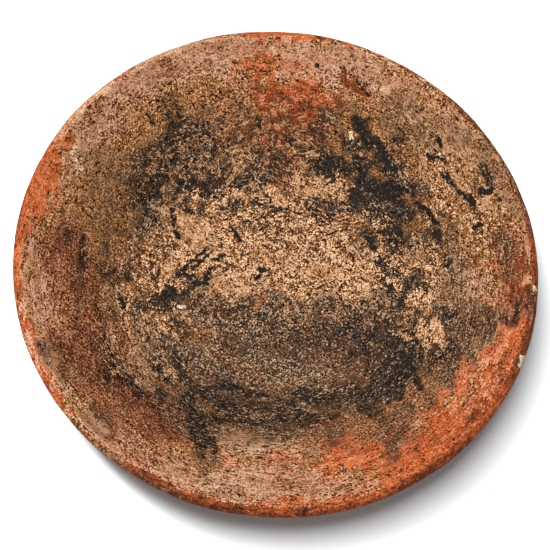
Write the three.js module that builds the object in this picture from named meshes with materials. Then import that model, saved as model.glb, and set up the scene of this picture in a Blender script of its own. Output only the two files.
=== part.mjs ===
// A thin-walled terracotta bowl, built by hand from a clay pat and five coils luted on top of each other.
// Millimetres, +Z up. The origin is the middle of the standing face, and +X runs along the rim's longer way.
import * as THREE from 'three';

// Driving dimensions, in millimetres
const rimLength = 300; // outside of the lip, the longer way across
const rimWidth = 291; // outside of the lip, the shorter way across
const bowlHeight = 54; // standing face to the top of the lip
const footDiameter = 110; // the flat floor, and the standing face under it
const knuckleRadius = 75; // the turn from floor to wall, along the middle of the clay
const floorThickness = 7;
const wallThickness = 6;
const lipThickness = 7;
const lipSwell = 14; // height of wall over which it thickens into the lip
const patTurn = 11; // how far the pat's edge reaches past the standing face
const scarfLength = 9; // length of the bevelled joint between two courses, along the wall
const luteFilm = 0.3; // wet clay that glues a joint

// Counts
const wallCoils = 4; // coils between the pat and the rim's own coil
const aroundSteps = 72; // flats in one turn
const courseSteps = 3; // flats from joint to joint up one face of a course
const lipSteps = 8; // flats round the half circle of the lip

// Fired clay, from the crusted floor out to the slipped rim
const floorColour = new THREE.Color('#8f6b4e');
const rimColour = new THREE.Color('#b5693f');
const clayRoughness = 0.85;

// The middle line of the clay: a flat floor, a round knuckle and a straight wall up to the lip's centre
const footRadius = footDiameter / 2;
const lipRadius = lipThickness / 2;
const floorMiddle = floorThickness / 2;
const lipCentre = new THREE.Vector2(rimLength / 2 - lipRadius, bowlHeight - lipRadius);
const reach = lipCentre.x - footRadius;
const rise = lipCentre.y - floorMiddle;
const widestKnuckle = (reach ** 2 + rise ** 2) / (2 * rise);
const knuckle = Math.min(knuckleRadius, widestKnuckle);
const wallLength = Math.sqrt(Math.max(0, reach ** 2 + rise ** 2 - 2 * rise * knuckle));
const wallLean = Math.atan2(rise - knuckle, reach) + Math.atan2(knuckle, wallLength);
const knuckleEnd = footRadius + knuckle * wallLean;
const wallEnd = knuckleEnd + wallLength;

// Where the courses meet, as distances out from the axis along the middle line
const patEdge = footRadius + patTurn;
const courseHeight = (wallEnd - patEdge) / (wallCoils + 1);
const scarfSlant = Math.hypot(scarfLength, wallThickness) / wallThickness;
const filmAlong = luteFilm * scarfSlant;

function thicknessAt(along) {
  const thinned = THREE.MathUtils.smoothstep(along, footRadius, knuckleEnd);
  const swollen = THREE.MathUtils.smoothstep(along, wallEnd - lipSwell, wallEnd);
  const wall = THREE.MathUtils.lerp(floorThickness, wallThickness, thinned);
  return wall + (lipThickness - wallThickness) * swollen;
}

// A point of the clay's inner face (side 1) or outer face (side -1), as radius and height
function faceAt(along, side) {
  const flat = Math.min(along, footRadius);
  const lean = THREE.MathUtils.clamp((along - footRadius) / knuckle, 0, wallLean);
  const climb = Math.max(0, along - knuckleEnd);
  const radius = flat + knuckle * Math.sin(lean) + climb * Math.cos(wallLean);
  const height = floorMiddle + knuckle * (1 - Math.cos(lean)) + climb * Math.sin(wallLean);
  const offset = side * thicknessAt(along) / 2;
  return new THREE.Vector2(radius - offset * Math.sin(lean), height + offset * Math.cos(lean));
}

function facePoints(from, to, side) {
  const points = [];
  for (let step = 0; step <= courseSteps; step += 1) {
    points.push(faceAt(THREE.MathUtils.lerp(from, to, step / courseSteps), side));
  }
  return points;
}

// A bevelled joint is lower on the inner face, where each course was smeared down over the one below it.
// The film of wet clay is shared between the course that ends at the joint and the one that starts there.
function jointEnd(joint, side) {
  return joint - side * scarfLength / 2 - filmAlong / 2;
}

function jointStart(joint, side) {
  return joint - side * scarfLength / 2 + filmAlong / 2;
}

function patOutline() {
  const under = [faceAt(0, -1), ...facePoints(footRadius, jointEnd(patEdge, -1), -1)];
  const floor = [faceAt(0, 1), ...facePoints(footRadius, jointEnd(patEdge, 1), 1)];
  return [...under, ...floor.reverse()];
}

function coilOutline(lowerJoint, upperJoint) {
  const outer = facePoints(jointStart(lowerJoint, -1), jointEnd(upperJoint, -1), -1);
  const inner = facePoints(jointStart(lowerJoint, 1), jointEnd(upperJoint, 1), 1);
  return [...outer, ...inner.reverse(), outer[0]];
}

function rimOutline(lowerJoint) {
  const outer = facePoints(jointStart(lowerJoint, -1), wallEnd, -1);
  const inner = facePoints(jointStart(lowerJoint, 1), wallEnd, 1);
  const lip = new THREE.EllipseCurve(
    lipCentre.x, lipCentre.y, lipRadius, lipRadius,
    wallLean - Math.PI / 2, wallLean + Math.PI / 2,
  );
  return [...outer.slice(0, -1), ...lip.getPoints(lipSteps), ...inner.reverse().slice(1), outer[0]];
}

// The bowl was pressed out of round: its wall moved in bodily at the two sides and kept its thickness,
// and the push fades out across the floor.
function pressOutOfRound(geometry) {
  const position = geometry.getAttribute('position');
  const push = (rimLength - rimWidth) / 2;
  for (let i = 0; i < position.count; i += 1) {
    const x = position.getX(i);
    const y = position.getY(i);
    const towardsSide = Math.sin(Math.atan2(y, x)) ** 2;
    const kept = 1 - push * towardsSide / Math.max(Math.hypot(x, y), footRadius);
    position.setXY(i, x * kept, y * kept);
  }
}

const bowl = new THREE.Group();

function addCourse(name, outline, towardsRim) {
  const geometry = new THREE.LatheGeometry(outline, aroundSteps);
  geometry.rotateX(Math.PI / 2);
  pressOutOfRound(geometry);
  const clay = new THREE.MeshStandardMaterial({
    color: floorColour.clone().lerp(rimColour, towardsRim),
    roughness: clayRoughness,
    metalness: 0,
  });
  const course = new THREE.Mesh(geometry, clay);
  course.name = name;
  bowl.add(course);
}

addCourse('base_pat', patOutline(), 0);
for (let coil = 1; coil <= wallCoils; coil += 1) {
  const lowerJoint = patEdge + (coil - 1) * courseHeight;
  addCourse(`wall_coil_${coil}`, coilOutline(lowerJoint, lowerJoint + courseHeight), coil / (wallCoils + 1));
}
addCourse('rim_coil', rimOutline(wallEnd - courseHeight), 1);

export default bowl;
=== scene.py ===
"""A hand-built terracotta bowl: luted courses of clay with slip, smoke and crust, on a white stage."""

from collections import namedtuple
from math import atan2, cos, pi, radians, sin, sqrt, tau

import bpy
import numpy as np
from bpy.props import FloatProperty, FloatVectorProperty, IntProperty, PointerProperty
from mathutils import Color, Matrix, Vector


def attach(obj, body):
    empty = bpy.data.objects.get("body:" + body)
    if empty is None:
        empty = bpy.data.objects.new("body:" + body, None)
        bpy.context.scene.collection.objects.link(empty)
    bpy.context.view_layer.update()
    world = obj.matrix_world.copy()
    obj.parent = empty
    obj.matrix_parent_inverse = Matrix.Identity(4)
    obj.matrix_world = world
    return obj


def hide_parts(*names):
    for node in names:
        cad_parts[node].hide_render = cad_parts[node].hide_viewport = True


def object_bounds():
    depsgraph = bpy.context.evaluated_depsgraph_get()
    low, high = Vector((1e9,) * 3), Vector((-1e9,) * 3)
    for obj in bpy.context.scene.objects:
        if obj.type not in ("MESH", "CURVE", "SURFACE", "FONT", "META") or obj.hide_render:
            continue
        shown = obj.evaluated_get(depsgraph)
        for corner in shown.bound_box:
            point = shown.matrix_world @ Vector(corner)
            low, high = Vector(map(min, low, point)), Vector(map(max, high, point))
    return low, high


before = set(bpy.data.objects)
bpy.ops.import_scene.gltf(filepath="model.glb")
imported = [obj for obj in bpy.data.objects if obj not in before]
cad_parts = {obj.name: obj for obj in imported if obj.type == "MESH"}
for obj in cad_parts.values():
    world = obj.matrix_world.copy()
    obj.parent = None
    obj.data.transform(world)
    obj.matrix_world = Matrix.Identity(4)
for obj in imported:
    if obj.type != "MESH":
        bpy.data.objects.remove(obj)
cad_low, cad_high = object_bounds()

bl_info = {
    "name": "Terracotta Bowl",
    "version": (1, 0, 0),
    "blender": (4, 5, 0),
    "location": "View3D > Sidebar > Bowl",
    "description": "Builds a hand-built, smoked and crusted terracotta bowl course by course",
    "category": "Add Mesh",
}

MM = 0.001
CAD_SIZE = cad_high - cad_low
WALL_COILS = sum(node.startswith("wall_coil_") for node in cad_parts)

# The photograph's frame, in pixels, and the camera's sensor, in millimetres
PHOTO_SIZE = 550
SENSOR_WIDTH = 36.0


def srgb(code):
    """A colour written as six hex digits, as the linear values that shaders take."""
    channels = [int(code[i:i + 2], 16) / 255 for i in (0, 2, 4)]
    return tuple(Color(channels).from_srgb_to_scene_linear())


def with_alpha(rgb):
    return (*rgb, 1.0)


# Sizes, angles and colours that a user would change

def length(name, description, default):
    return FloatProperty(name=name, description=description, default=default, unit="LENGTH", precision=4)


def bearing(name, description, degrees):
    return FloatProperty(name=name, description=description, default=radians(degrees), subtype="ANGLE")


def colour(name, description, code):
    return FloatVectorProperty(name=name, description=description, default=srgb(code), size=3,
                               subtype="COLOR", min=0.0, max=1.0)


class BowlSizes(bpy.types.PropertyGroup):
    """The bowl's section, as its clay was built up."""

    rim_length: length("Rim Length", "Outside of the lip, the longer way across", round(CAD_SIZE.x, 3))
    rim_width: length("Rim Width", "Outside of the lip, the shorter way across", round(CAD_SIZE.y, 3))
    height: length("Height", "Standing face to the top of the lip", round(CAD_SIZE.z, 3))
    foot_diameter: length("Foot Diameter", "Flat floor and the standing face under it", 110 * MM)
    knuckle_radius: length("Knuckle Radius", "Turn from floor to wall, at the middle of the clay", 75 * MM)
    floor_thickness: length("Floor Thickness", "Clay under the floor", 7 * MM)
    wall_thickness: length("Wall Thickness", "Clay in the wall", 6 * MM)
    lip_thickness: length("Lip Thickness", "Clay across the rounded lip", 7 * MM)
    lip_swell: length("Lip Swell", "Height over which the wall thickens into the lip", 14 * MM)
    pat_turn: length("Pat Turn", "How far the pat's edge reaches past the standing face", 11 * MM)
    scarf_length: length("Scarf Length", "Bevelled joint between two courses, along the wall", 9 * MM)


class BowlSurface(bpy.types.PropertyGroup):
    """How finely the clay is modelled, and the marks that hands and wiping left in its shape."""

    around: IntProperty(name="Around", description="Steps in one turn", default=900, min=36)
    inner_step: length("Inner Step", "Spacing of the mesh up the inside", 1.0 * MM)
    outer_step: length("Outer Step", "Spacing of the mesh up the outside", 1.6 * MM)
    under_step: length("Under Step", "Spacing of the mesh across the underside", 2.6 * MM)
    lip_rows: IntProperty(name="Lip Rows", description="Rows of mesh round the lip", default=12, min=4)
    wobble: length("Wobble", "Unevenness left by pinching", 0.9 * MM)
    wobble_size: length("Wobble Size", "Width of one pinched hollow", 55 * MM)
    groove: length("Groove", "Depth of the marks of wiping", 0.22 * MM)
    groove_size: length("Groove Size", "Width of one mark of wiping", 3.2 * MM)
    lump: length("Lump", "Height of small lumps", 0.25 * MM)
    lump_size: length("Lump Size", "Width of one small lump", 9 * MM)
    crust_height: length("Crust Height", "Thickness of the baked-on crust", 0.3 * MM)


class BowlColours(bpy.types.PropertyGroup):
    """Colours of the clay and of what has settled on it."""

    pit: colour("Pit", "Dark pores", "190d05")
    dark_film: colour("Dark Film", "Brown film where it is thick", "4c2d16")
    film: colour("Film", "Brown film over the clay", "905c30")
    light_film: colour("Light Film", "Brown film where it is thin", "b67e4a")
    pale_film: colour("Pale Film", "Bare grains in the film", "dca87c")
    crust: colour("Crust", "Tan baked-on crust", "c08d64")
    pale_crust: colour("Pale Crust", "Palest grains of the crust", "f0c296")
    red_film: colour("Red Film", "Brown film with slip showing through", "824426")
    pale_red: colour("Pale Red", "The same where it is thin", "b47650")
    dark_slip: colour("Dark Slip", "Slip in pores and scratches", "542610")
    deep_slip: colour("Deep Slip", "Redder, thinner slip", "8e4624")
    slip: colour("Slip", "Bright orange slip", "da6c38")
    pale_slip: colour("Pale Slip", "Worn slip", "e48c58")
    soot_black: colour("Soot Black", "Thickest soot", "14100c")
    soot: colour("Soot", "Smoke-blackened clay", "362d25")
    ash: colour("Ash", "Thin soot over crust", "6a6053")
    pale_ash: colour("Pale Ash", "Thin soot over thick crust", "a89274")
    flake: colour("Flake", "Bare charred clay where the crust has flaked off", "262422")
    dark_wash: colour("Dark Wash", "Dried wash where it is thin", "9a6442")
    wash: colour("Wash", "Pale dried wash", "c9906a")
    pale_wash: colour("Pale Wash", "Dried wash where it is thick", "eabd98")
    chip: colour("Chip", "Pale chips", "ecd2ae")
    straw: colour("Straw", "Fibres stuck in the crust", "dca878")
    clay: colour("Clay", "Raw fired clay in the joints", "b0714a")


class BowlStage(bpy.types.PropertyGroup):
    """Camera and light."""

    azimuth: bearing("Azimuth", "Camera's turn about Z", 31.0)
    elevation: bearing("Elevation", "Camera's height over the horizon", 70.0)
    lens: FloatProperty(name="Lens", description="Focal length in millimetres", default=85.0)
    distance: length("Distance", "Camera to the point it looks at", 0.763)
    aim_height: length("Aim Height", "Height of the point it looks at", 23.1 * MM)
    box_side: bearing("Box Side", "Soft box's turn to the left of straight ahead", 66.0)
    box_elevation: bearing("Box Elevation", "Height of the soft box over the horizon", 77.0)
    box_distance: length("Box Distance", "Soft box to the bowl", 1.6)
    box_turn: bearing("Box Turn", "Soft box's long side, clockwise from left to right", 50.0)
    box_length: length("Box Length", "Soft box's long side", 1.07)
    box_width: length("Box Width", "Soft box's short side", 0.24)
    box_share: FloatProperty(name="Box Share", description="Part of the floor's light from the soft box",
                             default=0.88, min=0.0, max=1.0)
    level: FloatProperty(name="Level", description="Light on the floor, where 1 shows a colour as written",
                         default=1.05)


# Stains, as strokes of each kind in the order they are laid. A stroke has its name, its half width,
# its strength and its path, in pixels of the photograph. A strength of up to 1 adds to its kind,
# and one down to -1 takes away.

Stroke = namedtuple("Stroke", "name half_width strength path")

# The rim in the photograph, in pixels: an ellipse with its longer way across tilted clockwise
RIM_CENTRE = (275.2, 274.6)
RIM_HALF_LENGTH = 262.8
RIM_HALF_WIDTH = 242.0
RIM_TILT = radians(9.5)
ARC_STEPS = 12


def rim_arc(start, end, inset):
    """Pixels along the rim between two angles, in degrees clockwise from the right, inset from its edge."""
    path = []
    for step in range(ARC_STEPS + 1):
        angle = radians(start + (end - start) * step / ARC_STEPS) - RIM_TILT
        along = (RIM_HALF_LENGTH - inset) * cos(angle)
        across = (RIM_HALF_WIDTH - inset) * sin(angle)
        path.append((RIM_CENTRE[0] + along * cos(RIM_TILT) - across * sin(RIM_TILT),
                     RIM_CENTRE[1] + along * sin(RIM_TILT) + across * cos(RIM_TILT)))
    return path


INSIDE_STAINS = {
    # Orange slip left bare
    "slip": (
        ("upper left crescent", 17, 1.0, ((60, 144), (50, 168), (40, 202))),
        ("crescent's tail", 12, 0.85, ((42, 196), (38, 208))),
        ("left edge", 8, 0.8, rim_arc(148, 192, 5)),
        ("left wall's patch", 11, 0.65, ((36, 300), (41, 336))),
        ("lower left edge", 12, 0.35, rim_arc(112, 152, 12)),
        ("red spot at the lower left", 8, 0.8, ((150, 476), (158, 481))),
        ("smear's head", 9, 0.95, ((157, 67), (166, 66))),
        ("smear's tail", 8, 0.85, ((151, 76), (142, 84), (132, 94))),
        ("top rim", 9, 0.95, rim_arc(266, 278, 6)),
        ("top patch", 20, 0.95, ((244, 58), (278, 52), (318, 66))),
        ("top patch's left", 10, 0.7, ((258, 82), (268, 92))),
        ("top patch's middle", 13, 0.75, ((268, 88), (316, 90))),
        ("top patch's streak", 10, 0.9, ((312, 83), (329, 94), (340, 103))),
        ("top patch's foot", 16, 1.0, ((270, 109), (300, 116))),
        ("thin slip under the top patch", 18, 0.58, ((258, 124), (292, 138), (284, 160))),
        ("red flake", 9, 1.0, ((344, 78), (352, 85))),
        ("red flake's tail", 6, 0.9, ((356, 90), (366, 92))),
        ("top right rim", 6, 0.5, rim_arc(300, 318, 10)),
        ("right wall", 16, 0.95, ((528, 252), (528, 268), (522, 294))),
        ("right wall's inner patch", 11, 0.3, ((478, 256), (490, 270))),
        ("lower right band", 28, 1.0, ((526, 326), (508, 368), (482, 408), (452, 440), (412, 464))),
        ("lower right band's inner side", 24, 0.9, ((496, 352), (474, 388), (446, 420))),
        ("bottom right streak", 16, 0.95, ((404, 459), (368, 456), (342, 457))),
        ("bottom right edge", 12, 0.75, ((430, 468), (390, 480))),
        ("bottom patch", 12, 0.8, ((346, 468), (288, 467))),
        ("red line over the bottom", 10, 0.85, ((330, 440), (350, 436))),
        ("bottom patch's right", 8, 0.4, ((356, 480), (372, 481))),
        ("bottom patch's left", 11, 0.75, ((276, 461), (268, 471))),
        ("small bottom patch", 10, 0.7, ((234, 460), (226, 468))),
        ("bottom edge", 8, 0.85, rim_arc(68, 98, 15)),
        ("teardrop's bright edge", 8, 0.5, ((160, 420), (174, 434), (186, 446))),
        ("orange speck", 4, 1.0, ((256, 310), (259, 309))),
        ("orange speck above it", 3, 1.0, ((261, 298), (263, 298))),
        ("orange speck in the top of the floor", 3, 1.0, ((262, 235), (265, 236))),
    ),
    # Reddish film and deeper slip, which on the lower right band also stands for painted shade
    "rust_and_shade": (
        ("red left wall", 42, 0.95, ((58, 246), (62, 280), (70, 330))),
        ("red lower left wall", 36, 0.75, ((84, 326), (100, 350), (110, 392), (150, 430))),
        ("red in the top patch", 18, 0.65, ((258, 92), (300, 100), (340, 104))),
        ("red under the top patch", 34, 0.7, ((250, 124), (302, 132), (296, 158))),
        ("red of the flake", 16, 1.0, ((344, 80), (366, 92))),
        ("red of the smear", 12, 0.7, ((168, 66), (132, 96))),
        ("red upper left edge", 10, 0.6, rim_arc(218, 245, 10)),
        ("red right wall", 26, 0.8, ((516, 250), (512, 300))),
        ("red above the lower band", 24, 0.36, ((430, 405), (390, 428), (320, 440))),
        # deeper slip, darkened further as painted shade
        ("deeper slip and painted shade on the lower right band", 18, 0.7, ((500, 386), (490, 398), (472, 416))),
        ("bright lower right edge", 12, -0.95, ((521, 338), (514, 368))),
        ("bright crescent", 15, -0.8, ((48, 172), (38, 216))),
        ("red under the bottom wash", 24, 0.5, ((110, 452), (180, 478), (250, 486), (296, 486))),
        ("deep bottom right", 20, 0.25, ((450, 434), (408, 450))),
        ("red at the bottom right", 16, 0.35, ((322, 484), (374, 488))),
        ("red under the top wash", 20, 0.4, ((180, 64), (260, 50), (340, 62), (400, 90))),
        ("bright slip at the top", 22, -0.9, ((246, 46), (312, 60))),
        ("red by the teardrop", 14, 0.35, ((150, 410), (182, 442))),
    ),
    # Pale dried wash
    "wash": (
        ("pale bits by the crescent", 9, 0.8, ((78, 140), (70, 158))),
        ("pale bits under it", 8, 0.8, ((74, 168), (64, 180))),
        ("pale bits at its foot", 5, 0.7, ((52, 196), (48, 204))),
        ("upper left rim", 25, 0.78, ((84, 136), (112, 98), (160, 70), (230, 52))),
        ("pale top", 17, 0.82, ((196, 50), (258, 44), (312, 58), (336, 60))),
        ("pale top edge", 9, 0.95, rim_arc(277, 292, 9)),
        ("pale top rim", 9, 0.9, rim_arc(256, 265, 11)),
        ("upper right rim", 24, 0.68, ((324, 60), (374, 74), (440, 108), (500, 190))),
        ("pale upper right rim", 9, 0.6, ((372, 70), (392, 79))),
        ("pale rim over the red flake", 8, 0.5, ((344, 69), (356, 72))),
        ("pale upper left rim", 10, 0.95, ((110, 92), (128, 77), (152, 64))),
        ("lower left rim", 13, 0.7, ((52, 366), (64, 396), (104, 444))),
        ("left wall", 14, 0.65, ((32, 248), (34, 300), (46, 350))),
        ("lower left wall", 22, 0.5, ((92, 430), (136, 466), (170, 476))),
        ("bottom wall", 20, 0.85, ((172, 480), (250, 486), (316, 484))),
        ("bottom wall's upper part", 14, 0.4, ((230, 458), (310, 460))),
        ("bottom wall's top", 13, 0.64, ((228, 440), (276, 441))),
        ("right wall", 12, 0.75, ((472, 286), (486, 279))),
        ("right edge", 9, 0.95, ((529, 226), (534, 262), (532, 282))),
        ("crumbs on the lower right band", 14, 0.24, ((500, 334), (480, 366), (470, 392))),
        ("crumbs at its edge", 8, 0.3, ((498, 362), (502, 374))),
        ("pale bottom right wall", 11, 0.38, ((326, 487), (376, 487))),
        ("pale over the bottom patch", 8, 0.4, ((344, 477), (358, 479))),
        ("pale right of the top patch", 10, 0.8, ((317, 70), (326, 80))),
        ("pale in the top patch", 10, 0.5, ((284, 74), (304, 76))),
        ("wash off the lower left wall", 12, -0.9, ((146, 473), (160, 480))),
        ("wash off the upper right wall", 12, -0.75, ((426, 102), (440, 108))),
        ("wash off the grey flake", 14, -1.0, ((484, 172), (487, 190))),
        ("wash off the red flake", 11, -1.0, ((344, 78), (364, 92))),
    ),
    # Pale chips and crumbs
    "chip": (
        ("pale crumbs by the crescent", 6, 0.5, ((72, 152), (80, 164))),
        ("white fleck on the cloud", 2.5, 1.0, ((351, 132), (352, 137))),
        ("white fleck by the blob", 2.5, 1.0, ((178, 307), (184, 307))),
        ("white fleck at the bottom", 2.5, 1.0, ((215, 485), (217, 486))),
        ("white fleck at the left", 2.5, 1.0, ((34, 352), (36, 353))),
    ),
    # Tan crust
    "crust": (
        ("floor", 56, 0.6, ((220, 236), (290, 236), (350, 256))),
        ("floor's upper edge", 20, 0.22, ((176, 214), (222, 212), (330, 196))),
        ("floor's middle", 34, 0.65, ((172, 224), (214, 248), (236, 282), (340, 284))),
        ("floor's left plates", 18, 0.55, ((168, 220), (186, 240), (208, 248))),
        ("floor's lower plates", 14, 0.4, ((206, 287), (236, 286))),
        ("floor's bright plates", 16, 0.85, ((306, 275), (346, 285))),
        ("floor's right plates", 17, 0.45, ((318, 236), (358, 258))),
        ("plate at the upper left", 10, 0.7, ((214, 203), (228, 200))),
        ("plate beside it", 10, 0.7, ((278, 203), (288, 203))),
        ("plates under the left arm of the cloud", 10, 0.7, ((298, 179), (316, 180))),
        ("plate by the cloud", 11, 0.95, ((333, 187), (346, 189))),
        ("plate under the left patch", 9, 0.8, ((196, 294), (212, 294))),
        ("plate by the crescent", 8, 0.8, ((75, 150), (71, 164))),
        ("plate over the flake line", 11, 0.75, ((428, 150), (436, 158))),
        ("plate under the grey flake", 10, 0.95, ((486, 200), (494, 204))),
        ("plate right of the cloud", 12, 0.6, ((430, 180), (437, 204))),
        ("grey plates in the lower floor", 16, 0.6, ((196, 318), (240, 328), (298, 322))),
        ("grains right of the floor", 14, 0.55, ((386, 304), (406, 308))),
        ("grey plates further down", 20, 0.4, ((190, 352), (226, 362), (290, 372))),
        ("grains on the right arm", 10, 0.12, ((404, 240), (416, 274))),
        ("grains by the clump", 9, 0.6, ((446, 314), (452, 320))),
        ("grains at the cloud's foot", 8, 0.6, ((378, 221), (386, 221))),
        ("grains in the floor", 11, 0.8, ((250, 236), (262, 238))),
        ("grains under the floor", 10, 0.5, ((360, 309), (372, 309))),
        ("grains at the floor's lower edge", 10, 0.4, ((332, 315), (344, 317))),
        ("grains in the floor's middle", 9, 0.6, ((274, 233), (286, 234))),
        ("floor's lower tongue", 16, 0.6, ((284, 306), (340, 312))),
        ("floor's left arm", 40, 0.6, ((176, 256), (128, 302), (152, 338))),
        ("floor's bright right", 30, 0.6, ((318, 280), (372, 276))),
        ("lower left crumbs", 26, 0.42, ((118, 352), (138, 358), (150, 368))),
        ("floor's right arm", 38, 0.45, ((396, 266), (430, 266), (456, 292))),
        ("right wall crust", 40, 0.4, ((434, 170), (462, 212), (480, 240))),
        ("upper right wall crust", 40, 0.2, ((400, 92), (446, 124))),
        ("grains under the right cloud", 20, 0.35, ((356, 248), (366, 254), (420, 246))),
        ("grains above the lower band", 13, 0.15, ((438, 370), (430, 386))),
        ("grains along the lower arc", 14, 0.5, ((300, 372), (322, 382))),
        ("grains in the lower arc", 8, 0.4, ((280, 396), (294, 397))),
        ("bottom wall grains", 14, 0.35, ((226, 446), (306, 446))),
        ("crumbs on the lower wall", 14, 0.3, ((492, 344), (470, 380), (444, 404))),
        ("brown wall over the floor", 30, 0.2, ((196, 160), (260, 150), (320, 154))),
        ("crust gone over the floor", 13, -0.85, ((184, 194), (198, 190), (204, 166))),
        ("crust gone under the cloud's arm", 12, -0.85, ((322, 156), (330, 172))),
        ("crust gone left of the blob", 8, -0.7, ((138, 307), (160, 303), (180, 304))),
        ("crust gone at the floor's top", 9, -0.75, ((228, 206), (238, 208))),
        ("crust gone by the cloud's left foot", 11, -0.8, ((336, 208), (366, 204))),
        ("crust gone from the left edge", 12, -0.7, ((110, 278), (122, 270))),
        ("crust gone by the bare patches", 10, -0.55, ((376, 245), (386, 255))),
        ("crust gone from the floor", 10, -0.6, ((256, 203), (284, 210))),
        ("crust gone from the right plates", 8, -0.5, ((310, 254), (320, 257))),
        ("crust gone right of the floor", 9, -0.3, ((402, 262), (410, 266))),
        ("crust gone from the right wall", 9, -0.5, ((454, 246), (460, 247))),
        ("crust gone left of the floor", 10, -0.7, ((118, 253), (124, 257))),
        ("crust gone over the middle plate", 9, -0.5, ((240, 250), (248, 252))),
        ("crust gone from the floor's top", 9, -0.5, ((256, 220), (264, 222))),
        ("crust gone by the gash", 8, -0.5, ((200, 210), (208, 210))),
        ("crust gone left of the fingers", 9, -0.5, ((164, 244), (172, 247))),
        ("crust gone left of the patch", 8, -0.5, ((142, 268), (152, 270))),
        ("crust gone right of the middle plate", 8, -0.45, ((274, 248), (284, 250))),
        ("crust gone beside it", 10, -0.7, ((308, 199), (316, 214))),
        ("crust gone from the right arm", 14, -0.45, ((382, 271), (400, 280), (430, 282))),
        ("crust gone from the cloud's neck", 12, -0.7, ((370, 140), (382, 152), (391, 170))),
        ("crust gone from the right cloud", 22, -0.68, ((364, 180), (386, 188), (394, 208))),
        ("crust gone from the lower right cloud", 32, -0.9, ((410, 350), (398, 380), (384, 400))),
        ("clump", 13, 1.0, ((430, 328), (437, 334), (429, 344))),
        ("grains left of the clump", 11, 0.5, ((396, 331), (408, 335))),
        ("clump over it", 10, 0.8, ((418, 298), (426, 303))),
        ("crust gone from the lower arc", 18, -0.6, ((196, 388), (260, 404), (340, 400))),
        ("crust off the grey flake", 13, -1.0, ((484, 174), (488, 182), (485, 190))),
        ("crust off the red flake", 11, -1.0, ((344, 78), (364, 92))),
        ("crust off the top patch's foot", 18, -0.9, ((268, 108), (300, 118))),
        ("crust off the orange specks", 6, -1.0, ((257, 310), (262, 298))),
    ),
    # Soot that the crust lies on
    "soot": (
        ("under the floor's crust", 120, 0.6, ((200, 260), (290, 250), (380, 260))),
        ("dark specks under the top patch", 18, 0.34, ((240, 124), (312, 136))),
        ("dark specks over the floor", 30, 0.42, ((200, 158), (262, 157), (322, 154))),
        ("dark spot by the top patch", 11, 0.55, ((318, 122), (338, 124))),
        ("dark spot under the streak", 9, 0.5, ((320, 108), (331, 113))),
        ("dark spot over the floor's fibres", 10, 0.5, ((242, 155), (254, 157))),
        ("dark specks on the top wall", 14, 0.95, ((202, 129), (211, 146))),
        ("dark specks left of the top patch", 11, 0.35, ((236, 104), (256, 115))),
        ("right cloud's head", 8, 0.95, ((355, 121), (366, 122), (366, 136))),
        ("right cloud's chin", 8, 0.9, ((345, 141), (364, 148))),
        ("right cloud's neck", 8, 1.0, ((370, 140), (382, 152), (391, 170))),
        ("right cloud's left arm", 12, 0.7, ((330, 168), (344, 166), (360, 174))),
        ("right cloud", 18, 1.0, ((362, 180), (378, 186), (398, 191))),
        ("right cloud's foot", 16, 0.9, ((372, 206), (396, 214))),
        ("right cloud's left foot", 12, 0.85, ((334, 207), (366, 203))),
        ("upper floor's dark edge", 13, 0.85, ((186, 191), (230, 184), (262, 180))),
        ("dark in the floor", 9, 0.7, ((254, 216), (266, 218))),
        ("dark left of the blob", 8, 0.6, ((138, 307), (160, 303), (182, 304))),
        ("olive smear's dark side", 15, 0.6, ((178, 142), (154, 164), (152, 206))),
        ("under the lower floor", 60, 0.15, ((220, 360), (300, 372), (390, 350))),
        ("dark brown right of the neck", 13, 0.5, ((398, 138), (404, 158))),
        ("dark under the clump", 11, 0.7, ((436, 352), (452, 347))),
        ("dark top of the floor", 11, 0.9, ((188, 196), (200, 194))),
        ("dark fibres over it", 12, 0.8, ((193, 163), (204, 164))),
        ("dark spot at the floor's top", 8, 0.85, ((228, 206), (238, 208))),
        ("dark spot over the floor", 9, 0.8, ((258, 200), (278, 206))),
        ("dark spot beside it", 9, 0.8, ((308, 199), (316, 214))),
        ("dark spot under the left arm", 11, 1.0, ((326, 158), (332, 176))),
        ("dark spot in the lower left crumbs", 10, 0.7, ((162, 368), (178, 377))),
        ("dark spot left of the lower cloud", 12, 0.6, ((374, 344), (386, 358))),
        ("dark spot in the lower floor", 10, 0.75, ((350, 330), (360, 334))),
        ("dark spot under the lower cloud", 10, 0.6, ((366, 410), (380, 416))),
        ("dark spot right of the lower cloud", 10, 0.45, ((426, 368), (436, 378))),
        ("dark spot left of the floor", 8, 0.5, ((104, 268), (112, 268))),
        ("dark specks on the left arm", 12, 0.4, ((137, 318), (136, 336))),
        ("right of the floor", 20, 0.7, ((392, 268), (410, 292))),
        ("lower right cloud", 26, 1.0, ((408, 346), (396, 364), (384, 386))),
        ("lower right cloud's side", 18, 1.0, ((405, 367), (401, 390))),
        ("lower right cloud's tail", 11, 0.85, ((380, 392), (340, 394), (300, 393))),
        ("lower right cloud's arm", 13, 0.75, ((412, 342), (432, 326), (452, 316))),
        ("lower arc", 11, 0.9, ((186, 378), (204, 392), (224, 403), (260, 410), (300, 412))),
        ("lower arc's inner line", 6, 0.9, ((216, 387), (240, 390), (262, 393))),
        ("lower arc's outer line", 8, 0.65, ((214, 420), (262, 424), (336, 420))),
        ("teardrop", 12, 1.0, ((183, 400), (196, 424), (206, 445))),
        ("lower left arc", 13, 0.75, ((104, 372), (140, 386), (162, 394))),
        ("left floor's dark edge", 10, 0.45, ((110, 278), (122, 270))),
        ("dark specks on the left wall", 22, 0.42, ((58, 254), (74, 230), (84, 276), (94, 304))),
        ("under the floor's left arm", 30, 0.15, ((124, 316), (172, 340))),
        ("dark left of the crumbs", 10, 0.9, ((104, 338), (109, 350))),
        ("specks by the smear", 11, 0.55, ((172, 112), (178, 126), (164, 138))),
        ("dark lower left", 17, 0.45, ((106, 345), (130, 368), (168, 374))),
        ("dark under it", 12, 0.4, ((142, 402), (156, 408))),
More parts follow.
